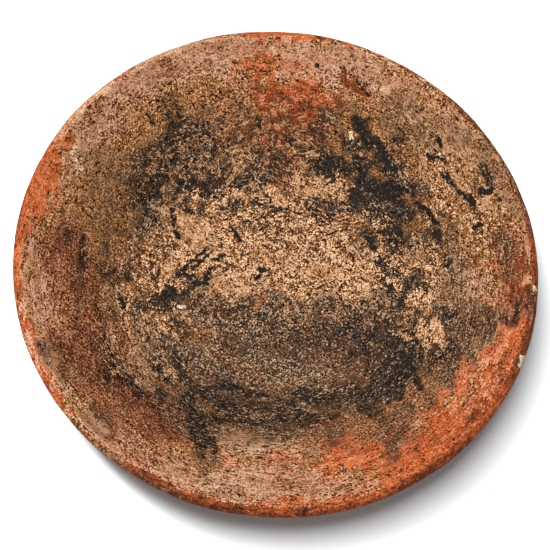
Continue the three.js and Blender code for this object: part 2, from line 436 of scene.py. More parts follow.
        ("smudge's dark side", 8, 0.75, ((524, 308), (516, 318))),
        ("dark in the lower arc", 9, 0.7, ((318, 405), (340, 408))),
        ("soot off the top patch", 14, -0.9, ((266, 105), (296, 112))),
        ("soot off the orange specks", 6, -1.0, ((257, 310), (262, 298))),
        ("grey flake", 12, 0.9, ((484, 174), (488, 182), (485, 190))),
    ),
    # Thin smoke that veils everything, and painted shade where a stroke is named for shade
    "haze_and_shade": (
        ("olive smear", 26, 0.95, ((184, 134), (156, 160), (146, 210))),
        ("grey by the clump", 14, 0.6, ((452, 322), (462, 330))),
        ("grey right wall", 16, 0.4, ((450, 286), (462, 304))),
        ("brown under the teardrop", 10, 0.6, ((198, 455), (210, 460))),
        ("grey over the clump", 11, 0.65, ((433, 312), (441, 313))),
        ("grey right of the floor", 12, 0.5, ((380, 302), (396, 304))),
        ("grey right side of the floor", 16, 0.25, ((358, 244), (380, 236), (414, 228), (415, 252))),
        ("brown above the lower band", 10, 0.6, ((424, 394), (432, 400))),
        ("olive smear's left", 13, 0.6, ((136, 160), (128, 184))),
        ("grey right rim", 10, 0.35, rim_arc(326, 344, 10)),
        ("dark top wall", 34, 0.18, ((205, 150), (270, 150), (330, 150))),
        ("veil left of the right cloud", 16, 0.8, ((328, 162), (346, 166))),
        ("brown right of the cloud", 14, 0.7, ((404, 184), (416, 189))),
        ("lower floor", 29, 0.85, ((208, 311), (236, 318), (290, 328), (356, 316))),
        ("grey left of the lower floor", 24, 0.9, ((161, 347), (184, 362), (206, 378))),
        # painted shade on the upper left wall
        ("painted shade on the golden wall", 26, 0.35, ((100, 170), (106, 214))),
        ("brown under the top patch", 20, 0.12, ((256, 164), (326, 124), (330, 164))),
        ("brown top wall", 16, 0.48, ((206, 112), (202, 152))),
        ("brown upper right wall", 22, 0.45, ((402, 112), (424, 138))),
        ("brown by the cloud's head", 8, 0.35, ((380, 118), (388, 124))),
        ("brown under the red flake", 9, 0.35, ((345, 108), (353, 112))),
        ("brown spot on it", 10, 0.6, ((456, 132), (464, 136))),
        ("brown left wall", 22, 0.18, ((56, 256), (76, 230), (98, 238))),
        ("brown left of the floor", 12, 0.65, ((104, 316), (108, 354))),
        ("brown on the left arm", 12, 0.45, ((137, 326), (137, 338))),
        ("brown right of the floor", 12, 0.5, ((454, 240), (460, 274))),
        ("brown right wall", 11, 0.65, ((502, 240), (508, 274))),
        ("brown under the clump", 16, 0.75, ((448, 354), (446, 378))),
        ("brown by the crumbs", 10, 0.3, ((470, 362), (460, 374))),
        ("brown under the lower cloud", 12, 0.7, ((402, 402), (402, 428))),
        ("soft edge of the lower arc", 14, 0.58, ((206, 428), (290, 434), (328, 428))),
        ("brown by the teardrop", 18, 0.6, ((146, 408), (182, 428))),
        ("brown over the bottom streak", 15, 0.2, ((312, 444), (366, 446))),
        ("brown above the streak", 12, 0.25, ((358, 424), (410, 437))),
        # painted shade along the floor's lower edge
        ("painted shade under the floor's lower edge", 8, 0.75, ((240, 299), (284, 301))),
        ("left lip's spot", 10, 0.8, ((37, 346), (43, 366))),
        ("lower left wall's spot", 14, 0.75, ((96, 416), (106, 430))),
        ("lower floor's rim side", 42, 0.8, ((240, 358), (330, 350), (400, 352))),
        ("lower arc's veil", 26, 0.8, ((196, 402), (270, 410), (350, 400))),
        # painted shade on the left and lower left walls
        ("painted shade on the left wall", 26, 0.2, ((84, 250), (94, 290), (84, 336))),
        ("painted shade on the lower left wall", 34, 0.68, ((80, 352), (124, 384), (160, 404))),
        ("right smudge", 13, 0.95, ((533, 296), (526, 308), (514, 320))),
        # painted shade on the right wall and over the lower right band
        ("painted shade on the right wall", 18, 0.7, ((512, 312), (470, 326), (456, 352))),
        ("painted shade over the lower right band", 12, 0.5, ((494, 318), (489, 338))),
        ("drip over the lower band", 11, 0.6, ((384, 428), (392, 458))),
        ("veil off the top patch", 18, -0.9, ((266, 100), (306, 107))),
        ("veil off the lower left rim", 13, -0.6, ((50, 366), (62, 398), (104, 446))),
        ("veil off the plates", 9, -0.9, ((212, 290), (222, 292))),
        ("veil off the bright plate", 10, -0.9, ((314, 273), (332, 275))),
        ("veil off the clump", 13, -1.0, ((430, 328), (433, 338))),
        ("veil off the clump over it", 10, -1.0, ((418, 298), (425, 302))),
        ("veil off the floor's lower edge", 9, -0.35, ((330, 314), (344, 317))),
        ("veil off the lower tongue", 9, -0.4, ((290, 314), (306, 315))),
        ("veil off the left wall", 11, -0.5, ((82, 346), (90, 352))),
        ("veil off the lower left wall", 10, -0.5, ((122, 412), (132, 418))),
        ("veil off the lower right cloud", 24, -0.9, ((408, 346), (403, 376), (382, 391))),
        ("veil off the lower arc", 12, -0.8, ((190, 386), (226, 404), (290, 412))),
        ("veil off the orange specks", 6, -1.0, ((257, 310), (262, 298))),
    ),
    # Bare charred spots with sharp edges
    "flake": (
        ("gash", 3.4, 1.0, ((172, 211), (175, 224), (179, 238))),
        ("left blob", 8, 0.8, ((165, 298), (172, 291), (180, 294))),
        ("left patch", 6, 0.85, ((180, 272), (192, 276))),
        ("left patch's foot", 5, 0.85, ((195, 284), (203, 286))),
        ("left patch's right", 4, 0.8, ((206, 284), (210, 268))),
        ("left finger", 2.4, 0.95, ((184, 268), (206, 248))),
        ("next finger", 2.2, 0.9, ((193, 268), (211, 251))),
        ("far finger", 3, 0.95, ((214, 259), (222, 256))),
        ("floor gash", 3, 0.95, ((231, 229), (236, 236), (242, 241))),
        ("floor blot", 4, 0.95, ((256, 277), (259, 276))),
        ("floor dot", 3, 1.0, ((261, 268), (264, 269))),
        ("black bits in the cloud's head", 6, 0.6, ((354, 122), (366, 128))),
        ("black bits in the cloud's neck", 6, 0.7, ((366, 136), (378, 150), (390, 168))),
        ("black core of the cloud", 11, 0.62, ((360, 176), (376, 188), (400, 194))),
        ("black left of the core", 6, 0.55, ((353, 193), (363, 201))),
        ("black under the cloud's arm", 7, 0.55, ((326, 164), (332, 178))),
        ("black core of the lower cloud", 9, 0.55, ((405, 366), (397, 388))),
        ("chain's head", 3, 1.0, ((417, 203), (425, 207))),
        ("chain", 3, 1.0, ((427, 209), (433, 217), (437, 224))),
        ("chain's foot", 4, 0.9, ((438, 232), (440, 243))),
        ("flake line's head", 5, 0.9, ((444, 175), (451, 182))),
        ("flake line", 3.4, 0.95, ((452, 183), (462, 192))),
        ("flake line's heel", 6, 1.0, ((463, 193), (469, 198))),
        ("flake line's toe", 5, 1.0, ((471, 202), (474, 207))),
        ("grey flake's lower edge", 3, 1.0, ((480, 191), (488, 194), (492, 189))),
        ("grey flake's neighbour", 4, 0.75, ((497, 198), (500, 202))),
        ("upper right spot", 4, 0.9, ((438, 140), (441, 143))),
        ("spot under it", 4, 0.8, ((431, 156), (435, 158))),
        ("spot beside that", 4, 0.9, ((443, 161), (447, 163))),
        ("right spot", 3, 1.0, ((474, 227), (481, 226))),
        ("cloud's bare left", 5, 0.85, ((366, 232), (370, 240), (374, 247))),
        ("cloud's bare right", 6, 0.7, ((379, 231), (396, 229), (405, 242))),
        ("cloud's bare foot", 5, 0.8, ((386, 239), (398, 245))),
        ("grey spot", 6, 0.7, ((446, 259), (449, 264))),
        ("bare by the clump", 6, 0.6, ((444, 308), (452, 315))),
        ("left wall gash", 3, 1.0, ((119, 296), (124, 307))),
        ("dark specks", 9, 0.5, ((164, 104), (172, 112), (182, 118))),
        ("lower dark specks", 8, 0.5, ((168, 126), (181, 134))),
        ("outer dark specks", 4, 0.6, ((148, 115), (152, 122))),
        ("pit over the floor", 4, 1.0, ((179, 182), (181, 183))),
        ("red flake's dark edge", 1.6, 0.8, ((356, 80), (364, 88), (368, 96))),
        ("speck in the top patch", 3, 1.0, ((317, 67), (318, 68))),
        ("black line in the lower arc", 2, 0.9, ((222, 388), (242, 390))),
        ("next black line", 2, 0.9, ((252, 393), (265, 394))),
    ),
    # Smooth plates in the crust
    "plate": (
        ("left plate", 18, 0.85, ((182, 218), (198, 236), (204, 246))),
        ("plate left of the patch", 8, 0.8, ((162, 272), (174, 260))),
        ("plate right of the patch", 8, 0.95, ((214, 291), (218, 292))),
        ("lower plate", 10, 0.65, ((214, 285), (250, 283))),
        ("middle plate", 11, 0.72, ((258, 255), (292, 262))),
        ("bright plate", 11, 1.0, ((312, 273), (332, 275))),
        ("small plate at the floor's top", 8, 0.95, ((242, 196), (252, 198))),
        ("fourth small plate", 7, 0.9, ((264, 186), (272, 187))),
        ("third small plate", 8, 0.9, ((276, 202), (284, 204))),
        ("next small plate", 8, 0.95, ((299, 191), (310, 193))),
        ("plate in the clump", 9, 0.7, ((432, 330), (436, 336))),
        ("plate by the grey flake", 8, 0.85, ((484, 200), (496, 204))),
    ),
    # Fibres caught in the crust
    "fibre": (
        ("fibres over the floor", 56, 0.7, ((196, 172), (260, 138), (330, 150))),
        ("fibres on the floor", 40, 0.35, ((200, 222), (330, 212))),
        ("fibres on the right wall", 40, 0.5, ((404, 100), (474, 180))),
        ("fibres off the floor's dark top", 15, -0.9, ((184, 197), (202, 195))),
        ("fibres off the cloud's arm", 11, -0.9, ((328, 160), (332, 178))),
        ("fibres off the right cloud", 30, -0.8, ((352, 132), (362, 176), (390, 190))),
        ("fibres off the lower wall", 60, -0.8, ((60, 380), (150, 450), (270, 480), (420, 450), (500, 370))),
    ),
    # Where the surface was wiped in rings
    "wipe": (
        ("lower floor", 46, 0.6, ((220, 352), (300, 362), (380, 340))),
        ("lower arcs", 34, 0.85, ((150, 372), (200, 402), (270, 416), (340, 408), (366, 398))),
        ("lower half", 70, 0.75, ((60, 280), (110, 400), (270, 440), (410, 400), (490, 300))),
    ),
}

# Stains of the rounded lip, with painted shade along its outer face and edge
LIP_STAINS = {
    "rust_and_shade": (
        # painted shade on the lip's outer face and on the right lip's edge, over deeper slip; the bright lip
        # at the bottom eases it
        ("painted shade on the lip's outer face", 26, 1.0, rim_arc(20, 122, 4)),
        ("painted shade on the right lip's edge", 14, 0.6, rim_arc(-70, 20, 2)),
        ("bright lip at the bottom", 6, -0.3, rim_arc(66, 82, 4)),
    ),
    "slip": (
        ("film over the upper left lip", 7, -0.95, rim_arc(216, 262, 7)),
        ("film over the upper right lip", 10, -0.95, rim_arc(306, 348, 2)),
        ("film inside the top right lip", 7, -0.95, rim_arc(284, 308, 7)),
        ("film over the lower left lip", 8, -0.6, rim_arc(127, 146, 6)),
    ),
    "wash": (
        ("pale film on the upper left lip", 8, 1.0, rim_arc(214, 262, 5)),
        ("pale film on the upper right lip", 7, 0.6, rim_arc(282, 330, 7)),
        ("pale film on the left lip", 7, 0.6, rim_arc(150, 172, 7)),
        ("pale film on the lower left lip", 7, 0.5, rim_arc(128, 144, 6)),
    ),
    "crust": (
        ("crust on the upper right lip", 7, 0.5, rim_arc(292, 344, 8)),
    ),
    "haze_and_shade": (
        # painted shade along the upper right lip's outer edge
        ("painted shade on the upper right lip's edge", 5, 0.55, rim_arc(312, 350, 1)),
        ("smudge", 12, 0.95, rim_arc(4, 9, 6)),
        # painted shade along the lower left lip's outer edge
        ("painted shade on the lower left lip's edge", 8, 0.3, rim_arc(112, 140, 1)),
    ),
    "chip": (
        ("chip", 3, 1.0, ((522, 356), (520, 366))),
        ("small chip", 2, 1.0, ((535, 286), (536, 289))),
    ),
}

# Stains of the outside, in millimetres along the bowl's own X and Y
OUTSIDE_STAINS = {
    "soot": (
        ("hearth black", 92, 0.75, ((-20, 12), (25, -8))),
        ("smoke up one side", 40, 0.7, ((60, 70), (95, 85))),
        ("smoke up the other side", 34, 0.6, ((-90, -50), (-120, -40))),
    ),
    "slip": (
        ("bare slip", 70, 0.6, ((80, -90), (130, -40))),
        ("bare slip opposite", 60, 0.6, ((-110, 70), (-60, 120))),
    ),
    "crust": (
        ("worn foot", 60, 0.4, ((-10, 0), (10, 0))),
    ),
}

# How much of each kind lies everywhere, before any stroke
KINDS = ("slip", "rust_and_shade", "wash", "crust", "soot", "haze_and_shade", "flake", "chip", "fibre", "plate", "wipe")
BARE = dict.fromkeys(KINDS, 0.0)
INSIDE_BASE = {**BARE, "slip": 0.08, "rust_and_shade": 0.1, "wash": 0.08, "crust": 0.06, "soot": 0.05, "haze_and_shade": 0.05,
               "fibre": 0.2, "wipe": 0.2}
LIP_BASE = {**BARE, "slip": 0.95, "rust_and_shade": 0.3, "wipe": 0.9}
OUTSIDE_BASE = {**BARE, "slip": 0.5, "rust_and_shade": 0.4, "wash": 0.1, "crust": 0.15, "soot": 0.6, "haze_and_shade": 0.1,
                "fibre": 0.05, "wipe": 0.6}

# How the edge of a stroke frays: the spacing of its bends, the most that they reach,
# their reach as a share of the stroke's half width, and the seed of their draws
Fray = namedtuple("Fray", "spacing most share seed")
BROAD_FRAY = Fray(34, 5.0, 0.22, 3)
CLOSE_FRAY = Fray(13, 2.6, 0.15, 4)
FRAY_WAVES = 12
FRAY_WAVE_SPREAD = (0.6, 1.6)
STROKE_REACH = 1.25  # share of its half width at which a stroke has faded out

# How steeply the lip's own stains give way to those of the inside and of the outside
LIP_INNER_FADE = 30
LIP_OUTER_FADE = 6

# Faces that meet more sharply than this show an edge
SHARP_EDGE = radians(45)

# How much a full layer hides of what lies below, and how much the haze, as smoke and as painted shade,
# darkens what it veils
SOOT_HIDES = 0.95
WASH_HIDES = 0.86
FIBRE_HIDES = 0.72
FLECK_HIDES = 0.8
HAZE_AND_SHADE_DIMS = 0.24


# Small helpers for node trees

class Sketch:
    """Short calls that add nodes to one tree and join them."""

    def __init__(self, tree):
        self.tree = tree

    def feed(self, socket, value):
        if isinstance(value, bpy.types.NodeSocket):
            self.tree.links.new(value, socket)
        else:
            socket.default_value = value

    def node(self, kind, inputs=None, **settings):
        made = self.tree.nodes.new(kind)
        for name, value in settings.items():
            setattr(made, name, value)
        for key, value in (inputs or {}).items():
            self.feed(made.inputs[key], value)
        return made

    def math(self, operation, *values):
        made = self.node("ShaderNodeMath", dict(enumerate(values)), operation=operation)
        return made.outputs[0]

    def vector(self, operation, *values):
        made = self.node("ShaderNodeVectorMath", operation=operation)
        for socket, value in zip(made.inputs, values):
            self.feed(socket, value)
        return made.outputs[0]

    def scaled(self, vector, factor):
        made = self.node("ShaderNodeVectorMath", {"Vector": vector, "Scale": factor}, operation="SCALE")
        return made.outputs[0]

    def upright(self, height):
        return self.node("ShaderNodeCombineXYZ", {"Z": height}).outputs[0]

    def between(self, low, high, share):
        span = self.math("SUBTRACT", high, low)
        return self.math("MULTIPLY_ADD", span, share, low)

    def ramp(self, value, low, high, start=0.0, end=1.0):
        made = self.node("ShaderNodeMapRange", {"Value": value, "From Min": low, "From Max": high,
                                                "To Min": start, "To Max": end},
                         interpolation_type="SMOOTHSTEP")
        return made.outputs["Result"]

    def noise(self, vector, scale, detail=2.0, roughness=0.5):
        made = self.node("ShaderNodeTexNoise", {"Vector": vector, "Scale": scale, "Detail": detail,
                                                "Roughness": roughness})
        return made.outputs[0]

    def palette(self, tone, *colours):
        """A colour from evenly spaced steps, from the darkest at 0 to the lightest at 1."""
        made = self.node("ShaderNodeValToRGB", {"Fac": tone})
        stops = made.color_ramp.elements
        stops[0].color = with_alpha(colours[0])
        stops[1].color = with_alpha(colours[-1])
        for number, rgb in enumerate(colours[1:-1], start=1):
            stops.new(number / (len(colours) - 1)).color = with_alpha(rgb)
        return made.outputs["Color"]

    def mix(self, share, first, second):
        made = self.node("ShaderNodeMix", data_type="RGBA")
        self.feed(made.inputs[0], share)
        self.feed(made.inputs[6], first)
        self.feed(made.inputs[7], second)
        return made.outputs[2]

    def group(self, tree, inputs):
        made = self.node("ShaderNodeGroup", node_tree=tree)
        for key, value in inputs.items():
            self.feed(made.inputs[key], value)
        return made.outputs


def new_tree(name, kind, inputs, outputs):
    """An empty node group with its named sockets, and the sketch, inputs and output node to fill it."""
    tree = bpy.data.node_groups.new(name, kind)
    for socket_name, socket_kind in inputs:
        tree.interface.new_socket(socket_name, in_out="INPUT", socket_type=socket_kind)
    for socket_name, socket_kind in outputs:
        tree.interface.new_socket(socket_name, in_out="OUTPUT", socket_type=socket_kind)
    sketch = Sketch(tree)
    given = sketch.node("NodeGroupInput").outputs
    result = sketch.node("NodeGroupOutput")
    return tree, sketch, given, result


# The clay's section

class Section:
    """Derived sizes of the bowl's section: a flat floor, a round knuckle and a straight wall to the lip."""

    def __init__(self, sizes):
        lip_radius = sizes.lip_thickness / 2
        self.foot = sizes.foot_diameter / 2
        self.floor_middle = sizes.floor_thickness / 2
        reach = sizes.rim_length / 2 - lip_radius - self.foot
        rise = sizes.height - lip_radius - self.floor_middle
        self.knuckle = min(sizes.knuckle_radius, (reach ** 2 + rise ** 2) / (2 * rise))
        # The wall leaves the knuckle as a tangent and ends in the middle of the lip
        wall_length = sqrt(max(0.0, reach ** 2 + rise ** 2 - 2 * rise * self.knuckle))
        self.wall_lean = atan2(rise - self.knuckle, reach) + atan2(self.knuckle, wall_length)
        self.knuckle_end = self.foot + self.knuckle * self.wall_lean
        self.wall_end = self.knuckle_end + wall_length
        self.push = (sizes.rim_length - sizes.rim_width) / 2
        self.pat_edge = self.foot + sizes.pat_turn
        self.course_height = (self.wall_end - self.pat_edge) / (WALL_COILS + 1)
        self.half_scarf = sizes.scarf_length / 2

    def joint(self, number):
        """Distance along the middle of the clay to a joint; number 0 is the pat's edge."""
        return self.pat_edge + number * self.course_height


# One course: where it starts and ends along the clay, inside and outside, its rows of mesh,
# and whether it is a ring
Course = namedtuple("Course", "inner_start inner_end outer_start outer_end "
                              "inner_rows lip_rows outer_rows ring")


def rows_between(start, end, step):
    return max(2, round(abs(end - start) / step) + 1)


def pat_course(section, surface):
    inner_end = section.joint(0) - section.half_scarf
    outer_start = section.joint(0) + section.half_scarf
    return Course(0.0, inner_end, outer_start, 0.0, rows_between(0.0, inner_end, surface.inner_step), 0,
                  rows_between(0.0, outer_start, surface.under_step), False)


def coil_course(section, surface, number):
    inner_start = section.joint(number - 1) - section.half_scarf
    inner_end = section.joint(number) - section.half_scarf
    outer_start = section.joint(number) + section.half_scarf
    outer_end = section.joint(number - 1) + section.half_scarf
    return Course(inner_start, inner_end, outer_start, outer_end,
                  rows_between(inner_start, inner_end, surface.inner_step), 0,
                  rows_between(outer_start, outer_end, surface.outer_step), True)


def rim_course(section, surface):
    inner_start = section.joint(WALL_COILS) - section.half_scarf
    outer_end = section.joint(WALL_COILS) + section.half_scarf
    return Course(inner_start, section.wall_end, section.wall_end, outer_end,
                  rows_between(inner_start, section.wall_end, surface.inner_step), surface.lip_rows,
                  rows_between(section.wall_end, outer_end, surface.outer_step), True)


# Geometry Nodes: one course of clay

COURSE_LENGTHS = (
    "Inner Start", "Inner End", "Outer Start", "Outer End", "Foot Radius", "Floor Middle", "Knuckle Radius",
    "Knuckle End", "Wall End", "Floor Thickness", "Wall Thickness", "Lip Thickness", "Lip Swell", "Push",
    "Wobble", "Wobble Size", "Groove", "Groove Size", "Lump", "Lump Size",
)
FLOOR_WIPE = 0.25  # share of the wall's marks of wiping that the floor has
WIPED_FROM = 0.4  # share of the foot's radius at which the marks of wiping begin to deepen
FLOOR_PINCH = 0.4  # share of the wall's pinching that the middle of the floor has
RING_DRAW = 0.12  # how much a mark of wiping changes along its ring
SEAM_GAP = MM / 1000  # points closer than this are one


def clay_course_tree():
    """Turns one stretch of the section about Z, presses it out of round and uneven, and closes it."""
    inputs = [("Around", "NodeSocketInt"), ("Inner Rows", "NodeSocketInt"), ("Lip Rows", "NodeSocketInt"),
              ("Outer Rows", "NodeSocketInt"), ("Ring", "NodeSocketInt"), ("Wall Lean", "NodeSocketFloat")]
    inputs += [(name, "NodeSocketFloat") for name in COURSE_LENGTHS]
    inputs += [("Skin", "NodeSocketMaterial"), ("Joint", "NodeSocketMaterial")]
    tree, s, given, result = new_tree("clay_course", "GeometryNodeTree", inputs,
                                      [("Geometry", "NodeSocketGeometry")])

    # A flat grid: one column for each step around, one row for each point of the section
    section_rows = s.math("ADD", s.math("ADD", given["Inner Rows"], given["Lip Rows"]), given["Outer Rows"])
    grid_rows = s.math("ADD", section_rows, given["Ring"])
    grid = s.node("GeometryNodeMeshGrid", {"Vertices X": s.math("ADD", given["Around"], 1.0),
                                           "Vertices Y": grid_rows})
    index = s.node("GeometryNodeInputIndex").outputs[0]
    column = s.math("FLOOR", s.math("DIVIDE", s.math("ADD", index, 0.5), grid_rows))
    grid_row = s.math("SUBTRACT", index, s.math("MULTIPLY", column, grid_rows))
    row = s.math("SUBTRACT", grid_row,
                 s.math("MULTIPLY", section_rows, s.math("GREATER_THAN", grid_row,
                                                         s.math("SUBTRACT", section_rows, 0.5))))
    angle = s.math("MULTIPLY", s.math("DIVIDE", column, given["Around"]), tau)

    # Where each row lies: up the inside, over the lip and down the outside
    outer_first = s.math("ADD", given["Inner Rows"], given["Lip Rows"])
    inner_last = s.math("SUBTRACT", given["Inner Rows"], 1.0)
    outer_steps = s.math("SUBTRACT", given["Outer Rows"], 1.0)
    inner_share = s.math("MINIMUM", s.math("DIVIDE", row, inner_last), 1.0)
    past_lip = s.math("SUBTRACT", row, outer_first)
    outer_share = s.math("MAXIMUM", s.math("DIVIDE", past_lip, outer_steps), 0.0)
    is_outer = s.math("GREATER_THAN", row, s.math("SUBTRACT", outer_first, 0.5))
    along = s.between(s.between(given["Inner Start"], given["Inner End"], inner_share),
                      s.between(given["Outer Start"], given["Outer End"], outer_share), is_outer)
    lip_steps = s.math("ADD", given["Lip Rows"], 1.0)
    over_lip = s.math("DIVIDE", s.math("SUBTRACT", row, inner_last), lip_steps)
    lip_share = s.node("ShaderNodeClamp", {"Value": over_lip}).outputs[0]
    turn = s.math("MULTIPLY_ADD", lip_share, -pi, pi / 2)

    # The middle of the clay, and the clay's own thickness
    past_foot = s.math("DIVIDE", s.math("SUBTRACT", along, given["Foot Radius"]), given["Knuckle Radius"])
    lean = s.math("MINIMUM", s.math("MAXIMUM", past_foot, 0.0), given["Wall Lean"])
    climb = s.math("MAXIMUM", s.math("SUBTRACT", along, given["Knuckle End"]), 0.0)
    flat = s.math("MINIMUM", along, given["Foot Radius"])
    turned_out = s.math("MULTIPLY_ADD", given["Knuckle Radius"], s.math("SINE", lean), flat)
    middle_radius = s.math("ADD", turned_out, s.math("MULTIPLY", climb, s.math("COSINE", given["Wall Lean"])))
    fall = s.math("SUBTRACT", 1.0, s.math("COSINE", lean))
    turned_up = s.math("MULTIPLY_ADD", given["Knuckle Radius"], fall, given["Floor Middle"])
    middle_height = s.math("ADD", turned_up, s.math("MULTIPLY", climb, s.math("SINE", given["Wall Lean"])))
    thinned = s.ramp(along, given["Foot Radius"], given["Knuckle End"])
    swollen = s.ramp(along, s.math("SUBTRACT", given["Wall End"], given["Lip Swell"]), given["Wall End"])
    wall = s.between(given["Floor Thickness"], given["Wall Thickness"], thinned)
    swell = s.math("SUBTRACT", given["Lip Thickness"], given["Wall Thickness"])
    half = s.math("DIVIDE", s.math("MULTIPLY_ADD", swell, swollen, wall), 2.0)

    # The clay's face, pressed out of round
    facing = s.math("ADD", lean, turn)
    out = s.math("COSINE", facing)
    radius = s.math("MULTIPLY_ADD", half, out, middle_radius)
    height = s.math("MULTIPLY_ADD", half, s.math("SINE", facing), middle_height)
    side = s.math("POWER", s.math("SINE", angle), 2.0)
    squeeze = s.math("DIVIDE", s.math("MULTIPLY", given["Push"], side),
                     s.math("MAXIMUM", radius, given["Foot Radius"]))
    pressed = s.math("MULTIPLY", radius, s.math("SUBTRACT", 1.0, squeeze))
    across = s.node("ShaderNodeCombineXYZ", {"X": s.math("COSINE", angle),
                                             "Y": s.math("SINE", angle)}).outputs[0]
    smooth = s.vector("ADD", s.scaled(across, pressed), s.upright(height))
    normal = s.vector("ADD", s.scaled(across, out), s.upright(s.math("SINE", facing)))

    # Uneven pinching, small lumps and rings left by wiping; the standing face stays flat
    def uneven(vector, size, depth, detail):
        value = s.noise(vector, s.math("DIVIDE", 1.0, size), detail)
        return s.math("MULTIPLY", s.math("SUBTRACT", value, 0.5), s.math("MULTIPLY", depth, 2.0))

    ring_path = s.vector("ADD", s.scaled(across, s.math("MULTIPLY", radius, RING_DRAW)), s.upright(along))
    wiped_from = s.math("MULTIPLY", given["Foot Radius"], WIPED_FROM)
    wiped_share = s.ramp(along, wiped_from, given["Knuckle End"], FLOOR_WIPE, 1.0)
    wiped = s.math("MULTIPLY", wiped_share, given["Groove"])
    pinched = s.math("MULTIPLY", s.ramp(along, 0.0, given["Wall End"], FLOOR_PINCH, 1.0), given["Wobble"])
    relief = s.math("ADD", uneven(smooth, given["Wobble Size"], pinched, 1.0),
                    s.math("ADD", uneven(smooth, given["Lump Size"], given["Lump"], 2.0),
                           uneven(ring_path, given["Groove Size"], wiped, 1.0)))
    under = s.math("MULTIPLY", is_outer,
                   s.math("SUBTRACT", 1.0, s.ramp(along, given["Foot Radius"], given["Knuckle End"])))
    relief = s.math("MULTIPLY", relief, s.math("SUBTRACT", 1.0, under))
    place = s.vector("ADD", smooth, s.scaled(normal, relief))

    # Faces that cross from the inside to the outside are joints
    face_row = s.math("FLOORED_MODULO", index, s.math("SUBTRACT", grid_rows, 1.0))
    at_top = s.math("MULTIPLY", s.math("COMPARE", face_row, inner_last, 0.5),
                    s.math("LESS_THAN", given["Lip Rows"], 0.5))
    at_bottom = s.math("GREATER_THAN", face_row, s.math("SUBTRACT", section_rows, 1.5))
    is_joint = s.math("MAXIMUM", at_top, at_bottom)

    def stored(geometry, name, value, data_type, domain):
        made = s.node("GeometryNodeStoreNamedAttribute", data_type=data_type, domain=domain)
        s.feed(made.inputs["Geometry"], geometry)
        s.feed(made.inputs["Name"], name)
        s.feed(made.inputs["Value"], value)
        return made.outputs["Geometry"]

    kept = stored(grid.outputs["Mesh"], "joint_face", is_joint, "FLOAT", "FACE")
    kept = stored(kept, "along", along, "FLOAT", "POINT")
    kept = stored(kept, "inside", s.ramp(turn, -pi / 2, pi / 2), "FLOAT", "POINT")
    kept = stored(kept, "clay_normal", normal, "FLOAT_VECTOR", "POINT")
    moved = s.node("GeometryNodeSetPosition", {"Geometry": kept, "Position": place}).outputs["Geometry"]
    closed = s.node("GeometryNodeMergeByDistance", {"Geometry": moved, "Distance": SEAM_GAP}).outputs[0]
    smoothed = s.node("GeometryNodeSetShadeSmooth", {"Geometry": closed}).outputs[0]
    real = s.node("GeometryNodeRealizeInstances", {"Geometry": smoothed}).outputs["Geometry"]
    skinned = s.node("GeometryNodeSetMaterial", {"Geometry": real, "Material": given["Skin"]})
    joint_faces = s.node("GeometryNodeInputNamedAttribute", {"Name": "joint_face"}, data_type="FLOAT")
    finished = s.node("GeometryNodeSetMaterial",
                      {"Geometry": skinned.outputs["Geometry"], "Material": given["Joint"],
                       "Selection": s.math("GREATER_THAN", joint_faces.outputs[0], 0.5)})
    s.feed(result.inputs["Geometry"], finished.outputs["Geometry"])
    return tree


def course_values(section, sizes, surface, course):
    """Every input of the course's tree but its materials, by socket name."""
    return {
        "Around": surface.around, "Inner Rows": course.inner_rows, "Lip Rows": course.lip_rows,
        "Outer Rows": course.outer_rows, "Ring": int(course.ring), "Wall Lean": section.wall_lean,
        "Inner Start": course.inner_start, "Inner End": course.inner_end,
        "Outer Start": course.outer_start, "Outer End": course.outer_end,
        "Foot Radius": section.foot, "Floor Middle": section.floor_middle, "Knuckle Radius": section.knuckle,
        "Knuckle End": section.knuckle_end, "Wall End": section.wall_end,
        "Floor Thickness": sizes.floor_thickness, "Wall Thickness": sizes.wall_thickness,
        "Lip Thickness": sizes.lip_thickness, "Lip Swell": sizes.lip_swell, "Push": section.push,
        "Wobble": surface.wobble, "Wobble Size": surface.wobble_size, "Groove": surface.groove,
        "Groove Size": surface.groove_size, "Lump": surface.lump, "Lump Size": surface.lump_size,
    }


# Stains on the clay

def camera_axes(stage):
    """The camera's backward, right and up directions."""
    turn, climb = stage.azimuth, stage.elevation
    back = Vector((sin(turn) * cos(climb), -cos(turn) * cos(climb), sin(climb)))
    right = Vector((cos(turn), sin(turn), 0.0))
    return back, right, back.cross(right)


def camera_place(stage):
    back, _, _ = camera_axes(stage)
    return Vector((0.0, 0.0, stage.aim_height)) + back * stage.distance


def photo_pixels(points, stage):
    """Where points of the bowl fall in the photograph's frame."""
    back, right, up = (np.array(axis) for axis in camera_axes(stage))
    offsets = points - np.array(camera_place(stage))
    pixels_per_slope = stage.lens / SENSOR_WIDTH * PHOTO_SIZE / -(offsets @ back)
    x = PHOTO_SIZE / 2 + offsets @ right * pixels_per_slope
    y = PHOTO_SIZE / 2 - offsets @ up * pixels_per_slope
    return np.stack((x, y), axis=1)


def wander(places, fray):
    """A smooth sideways wander of about 1 that frays the edges of stains."""
    draws = np.random.default_rng(fray.seed)
    offset = np.zeros_like(places)
    for axis in (0, 1):
        for _ in range(FRAY_WAVES):
            heading = draws.uniform(0, tau)
            wavelength = fray.spacing * draws.uniform(*FRAY_WAVE_SPREAD)
            phase = draws.uniform(0, tau)
            run = places @ np.array((cos(heading), sin(heading)))
            offset[:, axis] += sqrt(2 / FRAY_WAVES) * np.sin(run * tau / wavelength + phase)
    return offset


def fray_width(fray, stroke):
    return min(fray.most, stroke.half_width * fray.share)


def distance_to_path(places, path):
    nearest = np.full(len(places), np.inf)
    for start, end in zip(path, path[1:]):
        start, end = np.array(start, float), np.array(end, float)
        run = end - start
        share = np.clip((places - start) @ run / (run @ run), 0.0, 1.0)
        nearest = np.minimum(nearest, np.linalg.norm(places - start - share[:, None] * run, axis=1))
    return nearest


